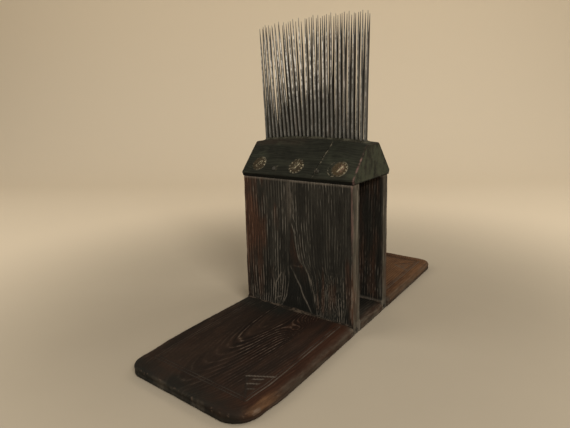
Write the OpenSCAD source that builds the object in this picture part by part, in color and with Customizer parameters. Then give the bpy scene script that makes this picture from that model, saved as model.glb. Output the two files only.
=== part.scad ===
// Wool comb on a long foot board: two rows of forged spikes stand in a wooden head,
// and two boards carry the head above the middle of the foot board.
// Lengths are in millimetres and angles in degrees.
// +Y runs along the foot board, +Z points up, and the origin lies on the floor under its middle.

/* [Foot board] */
// Length of the foot board
board_l = 573; // [520:1:640]
// Width of the foot board
board_w = 205; // [204:1:230]
// Thickness of the foot board
board_t = 16; // [14:0.5:24]
// Corner radius of the near end, seen from above
near_corner_r = 27; // [15:1:40]
// Corner radius of the far end, seen from above
far_corner_r = 20; // [12:1:40]
// Radius worn on to the long edges, above and below
board_edge_r = 4.5; // [2:0.5:6]
// Distance from the board's edge to the outer border line
border_inset = 19; // [14:1:30]
// Distance between the two border lines
border_step = 4.5; // [3:0.5:8]
// Width of a cut border line
border_line_w = 1.2; // [0.8:0.1:2]
// Depth of a cut border line
border_line_depth = 0.8; // [0.4:0.1:1.2]

/* [Uprights] */
// Length of board in front of the front upright
front_reach = 239; // [200:1:260]
// Distance that the foot of an upright stands in from each long edge of the board
foot_setback = 2; // [1:0.25:5]
// Distance that each standing edge leans in on its way up to the head
upright_taper = 3.5; // [0:0.5:8]
// Height of the uprights between the foot board and the head
upright_h = 207; // [160:1:250]
// Thickness of the front upright
front_t = 24; // [20:0.5:28]
// Thickness of the rear upright
rear_t = 20; // [18:0.5:26]
// Clear distance between the uprights
window_d = 73.5; // [66:0.5:90]
// Chamfer worn on to the upright's standing edges
upright_edge = 2; // [0.5:0.25:4]

/* [Joinery] */
// Width of the tongue at each edge of an upright's foot
tongue_w = 22; // [18:1:25]
// Width of each tenon between the tongues and under the head
tenon_w = 36; // [24:1:40]
// Distance between a tongue and the tenon beside it
tongue_to_tenon = 15.5; // [14:0.5:20]
// Height of the tenons that enter the head
head_tenon_h = 14; // [8:0.5:15]
// Gap left around every tongue, tenon and nail
joint_gap = 0.1; // [0.05:0.05:0.2]
// Distance from the floor up to the ends of tongues and tenons
foot_recess = 0.6; // [0.2:0.1:1.5]
// Height of a tenon wedge
wedge_h = 11; // [6:0.5:12]
// Thickness of a tenon wedge at its driven end
wedge_thick = 3.6; // [2.6:0.2:5]
// Thickness of a tenon wedge at its thin end
wedge_thin = 1.4; // [0.8:0.2:2]

/* [Head] */
// Distance by which the head stands out past the standing edges of the uprights
head_side_overhang = 2; // [1:0.5:4]
// Height of the head at its ends
head_h = 51.5; // [44:0.5:60]
// Rise of the head's crowned top between its ends and its middle
head_crown = 5.5; // [2:0.5:8]
// Height of the upright lip under the slopes
head_lip = 7; // [5:0.5:10]
// Depth of the head's top between the slopes
head_top_d = 40; // [36:1:46]
// Distance by which the lip stands out in front of and behind the uprights
head_overhang = 1.5; // [0.5:0.5:4]

/* [Tines] */
// Tines in each row
tines_per_row = 26; // [15:1:26]
// Mean distance between neighbouring tines of a row
tine_pitch = 7.07; // [7:0.01:7.2]
// Distance by which the middle tine of a row stands to the right of the row's middle
middle_shift = 3.5; // [0:0.5:3.5]
// Distance by which the rear row stands to the left of the front row
rear_shift = 3.5; // [0:0.5:3.5]
// Uneven part of a tine's place along its row
uneven_x = 0.15; // [0:0.05:0.15]
// Distance between the two rows
row_gap = 10; // [9:0.5:23]
// Length of a tine above the head
tine_l = 172; // [140:1:190]
// Diameter of a tine where it enters the head
tine_d = 4.4; // [3.6:0.1:4.6]
// Diameter of a tine where its point begins
tine_point_d = 2.4; // [1.6:0.1:3]
// Diameter of the blunt end of a tine's point
tine_tip_d = 0.7; // [0.5:0.1:1.2]
// Length of a tine's point
tine_point_l = 30; // [15:1:45]
// Diameter of the small head that keeps a tine from drawing out
tine_head_d = 5.2; // [4.9:0.1:5.3]
// Thickness of that small head
tine_head_t = 1.8; // [1:0.1:3]
// Gap between a tine and its hole
tine_gap = 0.1; // [0.05:0.05:0.2]

/* [Tine lean] */
// Sideways lean of the middle tines, negative to the left
middle_lean = -0.6; // [-1:0.1:1]
// Further lean of the outermost tines away from the middle
fan_lean = 1.4; // [0:0.1:2]
// Lean of the tines that use has pushed to the left, in the left half of both rows
pushed_lean = 3; // [0:0.2:3]
// Uneven part of the sideways lean, from one tine to the next
uneven_lean = 0.3; // [0:0.05:0.35]
// Lean of each row away from the other
row_lean = 0.5; // [0.4:0.1:1.5]
// Uneven part of that lean
uneven_row_lean = 0.35; // [0:0.05:0.4]
// Uneven part of the tines' length
uneven_l = 1.5; // [0:0.5:4]

/* [Nails] */
// Diameter of a nail's shank
nail_d = 3; // [2:0.1:3.4]
// Diameter of a nail's head
nail_head_d = 7; // [5:0.1:9]
// Thickness of a nail's head
nail_head_t = 1.2; // [0.8:0.1:1.4]
// Length of the nails that hold the feet of the uprights
foot_nail_l = 31; // [24:1:34]
// Length of the nails that hold the head
head_nail_l = 17; // [12:1:18]
// Distance of a head nail from the middle of its tenon
head_nail_off = 6.5; // [0:0.5:10]
// Distance of the head's nails up the slope
head_nail_up = 10.5; // [9:0.5:11]

/* [Hidden] */
// Width of the uprights at the foot and at the head, and width of the head along the rows
upright_foot_w = board_w - 2 * foot_setback;
upright_top_w = upright_foot_w - 2 * upright_taper;
head_w = upright_top_w + 2 * head_side_overhang;
// Depth of the stand over both uprights
stand_d = front_t + window_d + rear_t;
// Y of the stand's front and rear faces
front_y = front_reach - board_l / 2;
rear_y = front_y + stand_d;
// Y of the middle of the head's top, between the two rows
row_mid_y = (front_y + rear_y) / 2;
// Z of the head's underside and of its top at the ends and in the middle
head_z = board_t + upright_h;
head_end_z = head_z + head_h;
head_mid_z = head_end_z + head_crown;
// Radius of the cylinder that crowns the head's top
crown_r = (pow(head_w / 2, 2) + pow(head_crown, 2)) / (2 * head_crown);
// Run and rise of one slope of the head, and its angle from the floor
slope_run = head_overhang + (stand_d - head_top_d) / 2;
slope_rise = head_h - head_lip;
slope_a = atan2(slope_rise, slope_run);
// X of the last tine of a row, and where the pushed tines lie along the row: the middle of
// the stretch and half its length, as shares of row_half
row_half = tine_pitch * (tines_per_row - 1) / 2;
pushed_middle = -0.5;
pushed_reach = 0.42;
// Distance of a tenon's middle, and of a head nail, from the middle of the upright
tenon_x = upright_foot_w / 2 - tongue_w - tongue_to_tenon - tenon_w / 2;
head_nail_x = tenon_x - head_nail_off;
// Shape of a nail: the flat on its head, the rim of its head, and where its point begins,
// as shares of the head's diameter, the head's thickness and the shank's length
nail_flat = 0.56;
nail_rim = 0.3;
nail_point = 0.75;
// Small extra by which a cut runs past the face that it opens, and a tongue's or tenon's root
// into the wood that it grows from
past = 0.5;
// Distance that such a root keeps from the faces of its tongue or tenon
root_inset = upright_edge + past;
// Straight steps that a worn edge's quarter round is made of
edge_steps = 5;
// Colours of the pieces
foot_wood = [0.20, 0.13, 0.09];
board_wood = [0.17, 0.14, 0.12];
head_wood = [0.15, 0.15, 0.12];
iron = [0.33, 0.33, 0.32];
rusty_iron = [0.28, 0.22, 0.17];

// Number with two digits, for the names of the tines
function two_digits(n) = str(n < 10 ? "0" : "", n);
function tine_name(row, i) = str(row == 0 ? "tine_front_" : "tine_rear_", two_digits(i));

// Height of the crowned top of the head at x
function head_top_z(x) = head_mid_z - crown_r + sqrt(crown_r * crown_r - x * x);

// Place of tine i of a row, whose spacing is wider on the left and closer on the right
function tine_x(row, i) =
    let (even_x = tine_pitch * (i - 1) - row_half)
    even_x + middle_shift * (1 - pow(even_x / row_half, 2)) - row * rear_shift
    + uneven_x * uneven(row, i, 4);
function tine_y(row) = row_mid_y + (row == 0 ? -1 : 1) * row_gap / 2;

// Uneven amount between -1 and 1, another one for each tine and purpose
function uneven(row, i, purpose) = sin(97 * i + 141 * row + 53 * purpose);

// Sideways lean of a tine: a slight fan, and a stretch of both rows pushed to the left
function side_lean(row, i) =
    let (along = tine_x(row, i) / row_half)
    middle_lean + fan_lean * along + uneven_lean * uneven(row, i, 1)
    - pushed_lean * max(0, 1 - pow((along - pushed_middle) / pushed_reach, 2));

// Forward lean of a tine: the front row leans forward and the rear row back
function forward_lean(row, i) =
    (row == 0 ? 1 : -1) * row_lean + uneven_row_lean * uneven(row, i, 2);

// Length of a tine above the head
function tine_reach(row, i) = tine_l + uneven_l * uneven(row, i, 3);

// Half section of the board's edge: a flat plate of the given reach with a worn quarter round
// at its outer top and bottom corners
function edge_section(reach) = concat(
    [[0, 0]],
    [for (k = [0 : edge_steps]) let (a = 90 * k / edge_steps)
        [reach - board_edge_r * (1 - sin(a)), board_edge_r * (1 - cos(a))]],
    [for (k = [0 : edge_steps]) let (a = 90 * k / edge_steps)
        [reach - board_edge_r * (1 - cos(a)), board_t - board_edge_r * (1 - sin(a))]],
    [[0, board_t]]);

// Corner of the board, turned from the same section as its sides
module board_corner(x, y, r, turn) {
    translate([x, y, 0]) rotate([0, 0, turn])
        rotate_extrude(angle = 90, $fn = 64) polygon(edge_section(r));
}

// Straight edge of the board along +X from the origin, its worn side towards -Y
module board_edge(length, reach) {
    rotate([90, 0, 90]) linear_extrude(length) mirror([1, 0]) polygon(edge_section(reach));
}

// The bare board with its worn edges and round corners
module bare_board() {
    half_l = board_l / 2;
    half_w = board_w / 2;
    side_l = board_l - near_corner_r - far_corner_r;
    // Both long sides
    translate([0, half_l - far_corner_r, 0]) rotate([0, 0, -90]) board_edge(side_l, half_w);
    translate([0, -half_l + near_corner_r, 0]) rotate([0, 0, 90]) board_edge(side_l, half_w);
    // Near end and far end between the corners
    translate([-half_w + near_corner_r, -half_l + near_corner_r, 0])
        board_edge(board_w - 2 * near_corner_r, near_corner_r);
    translate([half_w - far_corner_r, half_l - far_corner_r, 0]) rotate([0, 0, 180])
        board_edge(board_w - 2 * far_corner_r, far_corner_r);
    board_corner(-half_w + near_corner_r, -half_l + near_corner_r, near_corner_r, 180);
    board_corner(half_w - near_corner_r, -half_l + near_corner_r, near_corner_r, 270);
    board_corner(half_w - far_corner_r, half_l - far_corner_r, far_corner_r, 0);
    board_corner(-half_w + far_corner_r, half_l - far_corner_r, far_corner_r, 90);
}

// One border line: a rectangle open towards the stand, cut into the top of the board.
// end_y is the board's end that the border follows, and stand_y the face of the stand
module border_line(inset, end_y, stand_y) {
    side_x = board_w / 2 - inset;
    way = sign(end_y);
    low_z = board_t - border_line_depth;
    near_y = min(end_y - way * inset, stand_y);
    far_y = max(end_y - way * inset, stand_y);
    for (side = [-1, 1])
        translate([side * side_x - border_line_w / 2, near_y, low_z])
            cube([border_line_w, far_y - near_y, border_line_depth + past]);
    translate([-side_x, end_y - way * inset - border_line_w / 2, low_z])
        cube([2 * side_x, border_line_w, border_line_depth + past]);
}

// Openings in the board for one upright: a notch in each edge and two mortises
module foot_openings(y, t) {
    for (side = [-1, 1]) {
        notch_in = upright_foot_w / 2 - tongue_w - joint_gap;
        translate([side > 0 ? notch_in : -board_w / 2 - past, y - joint_gap, -past])
            cube([board_w / 2 + past - notch_in, t + 2 * joint_gap, board_t + 2 * past]);
        translate([side * tenon_x - tenon_w / 2 - joint_gap, y - joint_gap, -past])
            cube([tenon_w + 2 * joint_gap, t + 2 * joint_gap, board_t + 2 * past]);
        foot_nail_hole(side, y + t / 2);
    }
}

// Hole for a foot nail, from the outer face of the tongue inwards
module foot_nail_hole(side, y) {
    translate([side * (upright_foot_w / 2 + past), y, board_t / 2]) rotate([0, -side * 90, 0])
        cylinder(d = nail_d + 2 * joint_gap, h = foot_nail_l + past + joint_gap, $fn = 32);
}

module base_board() {
    color(foot_wood) difference() {
        bare_board();
        foot_openings(front_y, front_t);
        foot_openings(rear_y - rear_t, rear_t);
        for (inset = [border_inset, border_inset + border_step]) {
            border_line(inset, -board_l / 2, front_y);
            border_line(inset, board_l / 2, rear_y);
        }
    }
}

// Room for a wedge in the end of a tenon, or the wedge itself with its gap left out
module wedge_shape(gap, low) {
    translate([-tenon_w / 2 + (gap > 0 ? joint_gap : -past), 0, 0]) rotate([90, 0, 90])
        linear_extrude(tenon_w + 2 * (gap > 0 ? -joint_gap : past))
            polygon([
                [-wedge_thick / 2 + gap, low], [wedge_thick / 2 - gap, low],
                [wedge_thin / 2 - gap, foot_recess + wedge_h - gap],
                [-wedge_thin / 2 + gap, foot_recess + wedge_h - gap]]);
}

// Tongue or tenon with its lowest corner given, and a root that ties it to the upright where
// the two meet, at the height root_z
module rooted_block(corner, size, root_z) {
    translate(corner) cube(size);
    translate([corner.x + root_inset, corner.y + root_inset, root_z - past])
        cube([size.x - 2 * root_inset, size.y - 2 * root_inset, 2 * past]);
}

// An upright with its tongues and tenons. y is its outer face, t its thickness, and
// way points from its outer face to the window: 1 for the front upright, -1 for the rear one
module upright(y, t, way) {
    low_y = way > 0 ? y : y - t;
    tenon_low_y = way > 0 ? y + t / 2 : y - t;
    foot_half = upright_foot_w / 2;
    top_half = upright_top_w / 2;
    difference() {
        union() {
            difference() {
                translate([0, low_y + t, board_t]) rotate([90, 0, 0]) linear_extrude(t)
                    polygon([[-foot_half, 0], [foot_half, 0], [top_half, upright_h],
                        [-top_half, upright_h]]);
                for (side = [-1, 1]) {
                    standing_chamfer(side, -1, low_y);
                    standing_chamfer(side, 1, low_y + t);
                }
            }
            for (side = [-1, 1]) {
                rooted_block([side > 0 ? foot_half - tongue_w : -foot_half, low_y, foot_recess],
                    [tongue_w, t, board_t - foot_recess], board_t);
                rooted_block([side * tenon_x - tenon_w / 2, low_y, foot_recess],
                    [tenon_w, t, board_t - foot_recess], board_t);
                rooted_block([side * tenon_x - tenon_w / 2, tenon_low_y, head_z],
                    [tenon_w, t / 2, head_tenon_h], head_z);
            }
        }
        for (side = [-1, 1]) {
            translate([side * tenon_x, low_y + t / 2, 0]) wedge_shape(0, foot_recess - past);
            foot_nail_hole(side, low_y + t / 2);
        }
        head_nail_holes(way);
    }
}

// Cutter that takes a chamfer off one standing edge, along the upright's tapering side and
// past both of its ends. face is -1 on the upright's face towards -Y and 1 on the other face,
// which lies at y
module standing_chamfer(side, face, y) {
    lean = atan2(upright_taper, upright_h);
    outward_a = side > 0 ? face * 45 : 180 - face * 45;
    cutter_w = 4 * upright_edge;
    translate([side * upright_foot_w / 2, y, board_t]) rotate([0, -side * lean, 0])
        rotate([0, 0, outward_a])
            translate([-upright_edge / sqrt(2), -cutter_w / 2, -upright_h / 2])
                cube([cutter_w, cutter_w, 2 * upright_h]);
}

module front_upright() {
    color(board_wood) upright(front_y, front_t, 1);
}

module rear_upright() {
    color(board_wood) upright(rear_y, rear_t, -1);
}

// Two wedges, driven into the tenons of one upright from below
module tenon_wedges(y) {
    color(foot_wood) for (side = [-1, 1])
        translate([side * tenon_x, y, 0]) wedge_shape(joint_gap / 2, foot_recess);
}

module front_tenon_wedges() { tenon_wedges(front_y + front_t / 2); }

module rear_tenon_wedges() { tenon_wedges(rear_y - rear_t / 2); }

// Frame of the head's nails: on the slope of one side, with +Z going into the wood.
// way is 1 for the front slope and -1 for the rear one
module on_slope(side, way) {
    lip_y = way > 0 ? front_y - head_overhang : rear_y + head_overhang;
    translate([
        side * head_nail_x,
        lip_y + way * head_nail_up * cos(slope_a),
        head_z + head_lip + head_nail_up * sin(slope_a)])
        rotate([way * (slope_a - 180), 0, 0]) children();
}

// Holes for the two nails of one slope
module head_nail_holes(way) {
    for (side = [-1, 1]) on_slope(side, way) translate([0, 0, -past])
        cylinder(d = nail_d + 2 * joint_gap, h = head_nail_l + past + joint_gap, $fn = 32);
}

// Section of the head across the rows, seen along +X
module head_section() {
    polygon([
        [front_y - head_overhang, head_z],
        [rear_y + head_overhang, head_z],
        [rear_y + head_overhang, head_z + head_lip],
        [row_mid_y + head_top_d / 2, head_end_z],
        [row_mid_y + head_top_d / 2, head_mid_z + past],
        [row_mid_y - head_top_d / 2, head_mid_z + past],
        [row_mid_y - head_top_d / 2, head_end_z],
        [front_y - head_overhang, head_z + head_lip]]);
}

// Hole for one tine, with room for the tine's own head at the underside
module tine_hole(row, i) {
    on_tine_axis(row, i) {
        translate([0, 0, -2 * head_h])
            cylinder(d = tine_d + 2 * tine_gap, h = 3 * head_h, $fn = 32);
        translate([0, 0, -2 * head_h]) cylinder(
            d = tine_head_d + 2 * tine_gap,
            h = 2 * head_h - tine_stem(row, i) + tine_head_t + tine_gap, $fn = 32);
    }
}

module head_block() {
    color(head_wood) difference() {
        intersection() {
            translate([-head_w / 2, 0, 0]) rotate([90, 0, 90]) linear_extrude(head_w) head_section();
            translate([0, rear_y + head_w, head_mid_z - crown_r]) rotate([90, 0, 0])
                cylinder(r = crown_r, h = stand_d + 2 * head_w, $fn = 360);
        }
        for (side = [-1, 1]) {
            translate([side * tenon_x - tenon_w / 2 - joint_gap,
                front_y + front_t / 2 - joint_gap, head_z - past])
                cube([tenon_w + 2 * joint_gap, front_t / 2 + 2 * joint_gap,
                    head_tenon_h + joint_gap + past]);
            translate([side * tenon_x - tenon_w / 2 - joint_gap, rear_y - rear_t - joint_gap,
                head_z - past])
                cube([tenon_w + 2 * joint_gap, rear_t / 2 + 2 * joint_gap,
                    head_tenon_h + joint_gap + past]);
        }
        head_nail_holes(1);
        head_nail_holes(-1);
        for (row = [0, 1], i = [1 : tines_per_row]) tine_hole(row, i);
    }
}

// Nail with a low round head: its shank goes along +Z from the face that the head rests on
module nail(length) {
    rotate_extrude($fn = 32) polygon([
        [0, -nail_head_t], [nail_head_d / 2 * nail_flat, -nail_head_t],
        [nail_head_d / 2, -nail_head_t * nail_rim], [nail_head_d / 2, 0],
        [nail_d / 2, 0], [nail_d / 2, length * nail_point], [0, length]]);
}

module foot_nails() {
    color(rusty_iron) for (side = [-1, 1], y = [front_y + front_t / 2, rear_y - rear_t / 2])
        translate([side * upright_foot_w / 2, y, board_t / 2]) rotate([0, -side * 90, 0])
            nail(foot_nail_l);
}

module front_head_nails() {
    color(rusty_iron) for (side = [-1, 1]) on_slope(side, 1) nail(head_nail_l);
}

module rear_head_nails() {
    color(rusty_iron) for (side = [-1, 1]) on_slope(side, -1) nail(head_nail_l);
}

// Frame of one tine: at the top of the head, with +Z along the leaning tine
module on_tine_axis(row, i) {
    translate([tine_x(row, i), tine_y(row), head_top_z(tine_x(row, i))])
        rotate([forward_lean(row, i), side_lean(row, i), 0]) children();
}

// Length of a tine inside the head, down to the underside
function tine_stem(row, i) =
    (head_top_z(tine_x(row, i)) - head_z) / (cos(forward_lean(row, i)) * cos(side_lean(row, i)));

// One forged tine: its small head, the stem in the wood, the slowly tapering spike and its point
module tine(row, i) {
    stem = tine_stem(row, i);
    reach = tine_reach(row, i);
    color(iron) on_tine_axis(row, i) rotate_extrude($fn = 32) polygon([
        [0, -stem], [tine_head_d / 2, -stem], [tine_head_d / 2, -stem + tine_head_t],
        [tine_d / 2, -stem + tine_head_t], [tine_d / 2, 0],
        [tine_point_d / 2, reach - tine_point_l], [tine_tip_d / 2, reach], [0, reach]]);
}

base_board();
front_upright();
rear_upright();
head_block();
front_tenon_wedges();
rear_tenon_wedges();
foot_nails();
front_head_nails();
rear_head_nails();
for (row = [0, 1], i = [1 : tines_per_row])
    tine(row, i);
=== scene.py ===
"""Wool comb: two rows of forged spikes in a carved wooden head on a long foot board.

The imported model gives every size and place. Its plain solids are replaced by pieces with raised
grain, worn arrises, cut ornament and uneven forged iron, in millimetres here and metres in the mesh.
"""
import math

import bmesh
import bpy
import numpy as np
from mathutils import Matrix, Vector


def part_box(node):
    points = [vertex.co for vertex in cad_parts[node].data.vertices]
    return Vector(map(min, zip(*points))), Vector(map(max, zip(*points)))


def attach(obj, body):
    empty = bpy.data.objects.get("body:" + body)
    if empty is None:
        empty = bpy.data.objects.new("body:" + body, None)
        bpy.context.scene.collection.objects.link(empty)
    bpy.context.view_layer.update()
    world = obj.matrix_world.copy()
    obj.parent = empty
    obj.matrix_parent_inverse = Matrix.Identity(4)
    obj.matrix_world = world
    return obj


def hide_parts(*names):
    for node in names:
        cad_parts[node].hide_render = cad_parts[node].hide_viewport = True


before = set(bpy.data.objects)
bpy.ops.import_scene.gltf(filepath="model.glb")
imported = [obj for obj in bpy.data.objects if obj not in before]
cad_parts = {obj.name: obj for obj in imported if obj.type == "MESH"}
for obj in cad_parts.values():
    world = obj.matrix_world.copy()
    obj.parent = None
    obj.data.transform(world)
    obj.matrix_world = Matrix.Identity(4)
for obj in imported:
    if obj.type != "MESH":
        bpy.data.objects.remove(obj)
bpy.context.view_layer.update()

bl_info = {
    "name": "Wool comb",
    "version": (1, 0, 0),
    "blender": (4, 5, 0),
    "location": "3D View > Sidebar > Wool comb",
    "description": "Builds an old wool comb on its foot board from its packed frame",
    "category": "Add Mesh",
}

MM = 0.001
TINES_PER_ROW = 26


def box_mm(node):
    """Lowest and highest corners of a solid of the frame, in millimetres."""
    low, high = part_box(node)
    return np.round(np.array(low) / MM, 3), np.round(np.array(high) / MM, 3)


BOARD_LOW, BOARD_HIGH = box_mm("base_board")
FRONT_LOW, FRONT_HIGH = box_mm("front_upright")
REAR_LOW, REAR_HIGH = box_mm("rear_upright")
HEAD_LOW, HEAD_HIGH = box_mm("head_block")
BOARD_TOP = BOARD_HIGH[2]


# Noise and small helpers


def lattice(ix, iy, seed):
    """Pseudo-random values from -1 to 1 at whole-numbered lattice points, by mixing their bits."""
    h = (ix.astype(np.int64) * 374761393 + iy.astype(np.int64) * 668265263 + seed * 974634777) & 0xFFFFFFFF
    h = ((h ^ (h >> 13)) * 1274126177) & 0xFFFFFFFF
    h = h ^ (h >> 16)
    return (h & 0xFFFFFF) / float(0x7FFFFF) - 1.0


def noise(x, y, seed=0):
    """Smooth value noise: the four lattice values round a point, blended by a cubic step."""
    ix, iy = np.floor(x), np.floor(y)
    fx, fy = x - ix, y - iy
    sx, sy = fx * fx * (3 - 2 * fx), fy * fy * (3 - 2 * fy)
    low = lattice(ix, iy, seed) * (1 - sx) + lattice(ix + 1, iy, seed) * sx
    high = lattice(ix, iy + 1, seed) * (1 - sx) + lattice(ix + 1, iy + 1, seed) * sx
    return low * (1 - sy) + high * sy


def rough(x, y, seed=0, octaves=3):
    """Sum of noises, each at twice the frequency and half the height of the one before."""
    total = np.zeros(np.broadcast(x, y).shape)
    for k in range(octaves):
        total = total + noise(x * 2 ** k, y * 2 ** k, seed + 17 * k) * 0.5 ** k
    return total / 1.75


def ramp(x, low, high):
    """Smooth step from 0 at low to 1 at high."""
    t = np.clip((x - low) / (high - low), 0, 1)
    return t * t * (3 - 2 * t)


def spaced(*stretches):
    """Grid lines from stretches (start, end, spacing) that follow each other."""
    parts = [np.linspace(a, b, max(int(round(abs(b - a) / step)), 1) + 1) for a, b, step in stretches]
    return np.unique(np.round(np.concatenate(parts), 4))


def with_lines(lines, extra, clear=0.35):
    """Grid lines with some extra ones, and without the old ones that lie too close to those."""
    far = np.min(np.abs(lines[:, None] - np.array(extra)[None, :]), axis=1) > clear
    return np.sort(np.concatenate([lines[far], np.array(extra, float)]))


def stroke(x, y, ax, ay, bx, by):
    """Distance from each point to the straight cut between a and b."""
    dx, dy = bx - ax, by - ay
    t = np.clip(((x - ax) * dx + (y - ay) * dy) / (dx * dx + dy * dy), 0, 1)
    return np.hypot(x - ax - t * dx, y - ay - t * dy)


def rings_to_ridges(f, sharp=2.2):
    """Height from 0 to 1 of weathered growth rings: slow rise through the soft early wood and a
    hard late-wood ridge, once for each whole step of f."""
    t = f - np.floor(f)
    return np.power(np.clip(1 - np.abs(t - 0.72) / 0.62, 0, 1), sharp)


# Meshes


def make_piece(name, verts_mm, faces, node=None, smooth_angle=42, fields=None):
    """Puts points in millimetres and faces into a mesh at the origin, and joins it to the frame."""
    mesh = bpy.data.meshes.new(name)
    mesh.from_pydata((np.asarray(verts_mm) * MM).tolist(), [], [tuple(int(i) for i in f) for f in faces])
    for key, values in (fields or {}).items():
        mesh.attributes.new(key, "FLOAT", "POINT").data.foreach_set("value", np.asarray(values, np.float32))
    mesh.validate()
    mesh.polygons.foreach_set("use_smooth", np.ones(len(mesh.polygons), bool))
    mesh.set_sharp_from_angle(angle=math.radians(smooth_angle))
    mesh.update()
    obj = bpy.data.objects.new(name, mesh)
    bpy.context.scene.collection.objects.link(obj)
    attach(obj, "root")
    if node:
        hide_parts(*([node] if isinstance(node, str) else node))
    return obj


def thick_sheet(front, back, keep, levels, bulge=None):
    """Closed sheet between two grids of points, front and back, of the same shape.

    keep says which cells of the grid are wood. Each kept cell gives one face in front and one at
    the back, and each edge between wood and no wood gives a wall from front to back in `levels`
    steps. Wall points lie evenly on the line from the front point to the back point."""
    n, m = front.shape[:2]
    share = np.linspace(0, 1, levels + 1)[:, None, None, None]
    points = front[None] * (1 - share) + back[None] * share
    if bulge is not None:
        points = points + bulge[None] * (4 * share * (1 - share))
    index = np.arange((levels + 1) * n * m).reshape(levels + 1, n, m)
    ki, kj = np.nonzero(keep)
    quads = [np.stack([index[0, ki, kj], index[0, ki + 1, kj], index[0, ki + 1, kj + 1],
                       index[0, ki, kj + 1]], 1),
             np.stack([index[-1, ki, kj], index[-1, ki, kj + 1], index[-1, ki + 1, kj + 1],
                       index[-1, ki + 1, kj]], 1)]
    pad = np.pad(keep, 1)
    across = pad[:-1, 1:-1].astype(int) - pad[1:, 1:-1].astype(int)
    along = pad[1:-1, :-1].astype(int) - pad[1:-1, 1:].astype(int)
    for k in range(levels):
        a, b = index[k], index[k + 1]
        i, j = np.nonzero(across == 1)
        quads.append(np.stack([a[i, j], b[i, j], b[i, j + 1], a[i, j + 1]], 1))
        i, j = np.nonzero(across == -1)
        quads.append(np.stack([a[i, j + 1], b[i, j + 1], b[i, j], a[i, j]], 1))
        i, j = np.nonzero(along == 1)
        quads.append(np.stack([a[i + 1, j], b[i + 1, j], b[i, j], a[i, j]], 1))
        i, j = np.nonzero(along == -1)
        quads.append(np.stack([a[i, j], b[i, j], b[i + 1, j], a[i + 1, j]], 1))
    quads = np.concatenate(quads)
    used, flat = np.unique(quads, return_inverse=True)
    return points.reshape(-1, 3)[used], flat.reshape(quads.shape), used, (levels + 1, n, m)


def field_on(used, shape, front_values, back_values=None):
    """Values of a field on the sheet's used points: front to back, blended over the walls."""
    levels = shape[0]
    back_values = front_values if back_values is None else back_values
    share = np.linspace(0, 1, levels)[:, None, None]
    return (front_values[None] * (1 - share) + back_values[None] * share).reshape(-1)[used]


def loops_mesh(points):
    """Quads of a tube whose rings are points[k], closed round each ring and open at its ends."""
    k, n = points.shape[:2]
    index = np.arange(k * n).reshape(k, n)
    a, b = index[:-1], index[1:]
    quads = np.stack([a, np.roll(a, -1, 1), np.roll(b, -1, 1), b], -1)
    return quads.reshape(-1, 4)


# Sizes that a user would change


class CombSizes(bpy.types.PropertyGroup):
    """Wear, carving and spike sizes of the comb."""

    grain_depth: bpy.props.FloatProperty(
        name="Grain depth", description="Height of the weathered late-wood ridges on the uprights",
        default=0.7 * MM, min=0, max=0.0015, unit="LENGTH")
    board_grain_depth: bpy.props.FloatProperty(
        name="Board grain depth", description="Height of the grain ridges on the foot board",
        default=0.55 * MM, min=0, max=0.0015, unit="LENGTH")
    rosette_d: bpy.props.FloatProperty(
        name="Rosette diameter", description="Diameter of a carved rosette on the head's front slope",
        default=25 * MM, min=0.015, max=0.035, unit="LENGTH")
    carving_depth: bpy.props.FloatProperty(
        name="Carving depth", description="Depth of the rosettes' cuts",
        default=1.25 * MM, min=0.0003, max=0.003, unit="LENGTH")
    tine_d: bpy.props.FloatProperty(
        name="Tine diameter", description="Diameter of a tine where it leaves the head",
        default=4.3 * MM, min=0.003, max=0.0045, unit="LENGTH")
    tine_bend: bpy.props.FloatProperty(
        name="Tine bend", description="Largest sideways bow of a tine between its foot and its point",
        default=0.45 * MM, min=0, max=0.001, unit="LENGTH")


class CombColours(bpy.types.PropertyGroup):
    """Base colours of the comb's finishes and of the floor."""

    foot_wood: bpy.props.FloatVectorProperty(
        name="Foot board", description="Dark oiled wood of the foot board", subtype="COLOR",
        size=3, default=(0.0205, 0.0110, 0.0066), min=0, max=1)
    board_wood: bpy.props.FloatVectorProperty(
        name="Uprights", description="Weathered wood of the uprights", subtype="COLOR",
        size=3, default=(0.0370, 0.0335, 0.0262), min=0, max=1)
    head_wood: bpy.props.FloatVectorProperty(
        name="Head", description="Greasy greenish-black wood of the head", subtype="COLOR",
        size=3, default=(0.0125, 0.0134, 0.0084), min=0, max=1)
    iron: bpy.props.FloatVectorProperty(
        name="Tines", description="Dark forged iron of the tines", subtype="COLOR",
        size=3, default=(0.13, 0.13, 0.125), min=0, max=1)
    backdrop: bpy.props.FloatVectorProperty(
        name="Backdrop", description="Pale floor and backdrop", subtype="COLOR",
        size=3, default=(0.36, 0.31, 0.235), min=0, max=1)


# Materials


class Value:
    """One number socket of a node tree, with Math nodes behind the operators that are used."""

    def __init__(self, finish, socket):
        self.finish = finish
        self.socket = socket

    def math(self, operation, other=None, third=None):
        values = [v for v in (self, other, third) if v is not None]
        node = self.finish.node("ShaderNodeMath", {"operation": operation}, dict(enumerate(values)))
        return Value(self.finish, node.outputs[0])

    def __add__(self, other):
        return self.math("ADD", other)

    def __radd__(self, other):
        return self.math("ADD", other)

    def __sub__(self, other):
        return self.math("SUBTRACT", other)

    def __rsub__(self, other):
        return (self * -1.0) + other

    def __mul__(self, other):
        return self.math("MULTIPLY", other)

    def __rmul__(self, other):
        return self.math("MULTIPLY", other)

    def step(self, low, high):
        """0 below low and 1 above high, with a smooth change between them."""
        node = self.finish.node(
            "ShaderNodeMapRange", {"interpolation_type": "SMOOTHSTEP"},
            {"Value": self, "From Min": low, "From Max": high, "To Min": 0.0, "To Max": 1.0})
        return Value(self.finish, node.outputs[0])

    def clamped(self):
        return self.math("MAXIMUM", 0.0).math("MINIMUM", 1.0)


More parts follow.
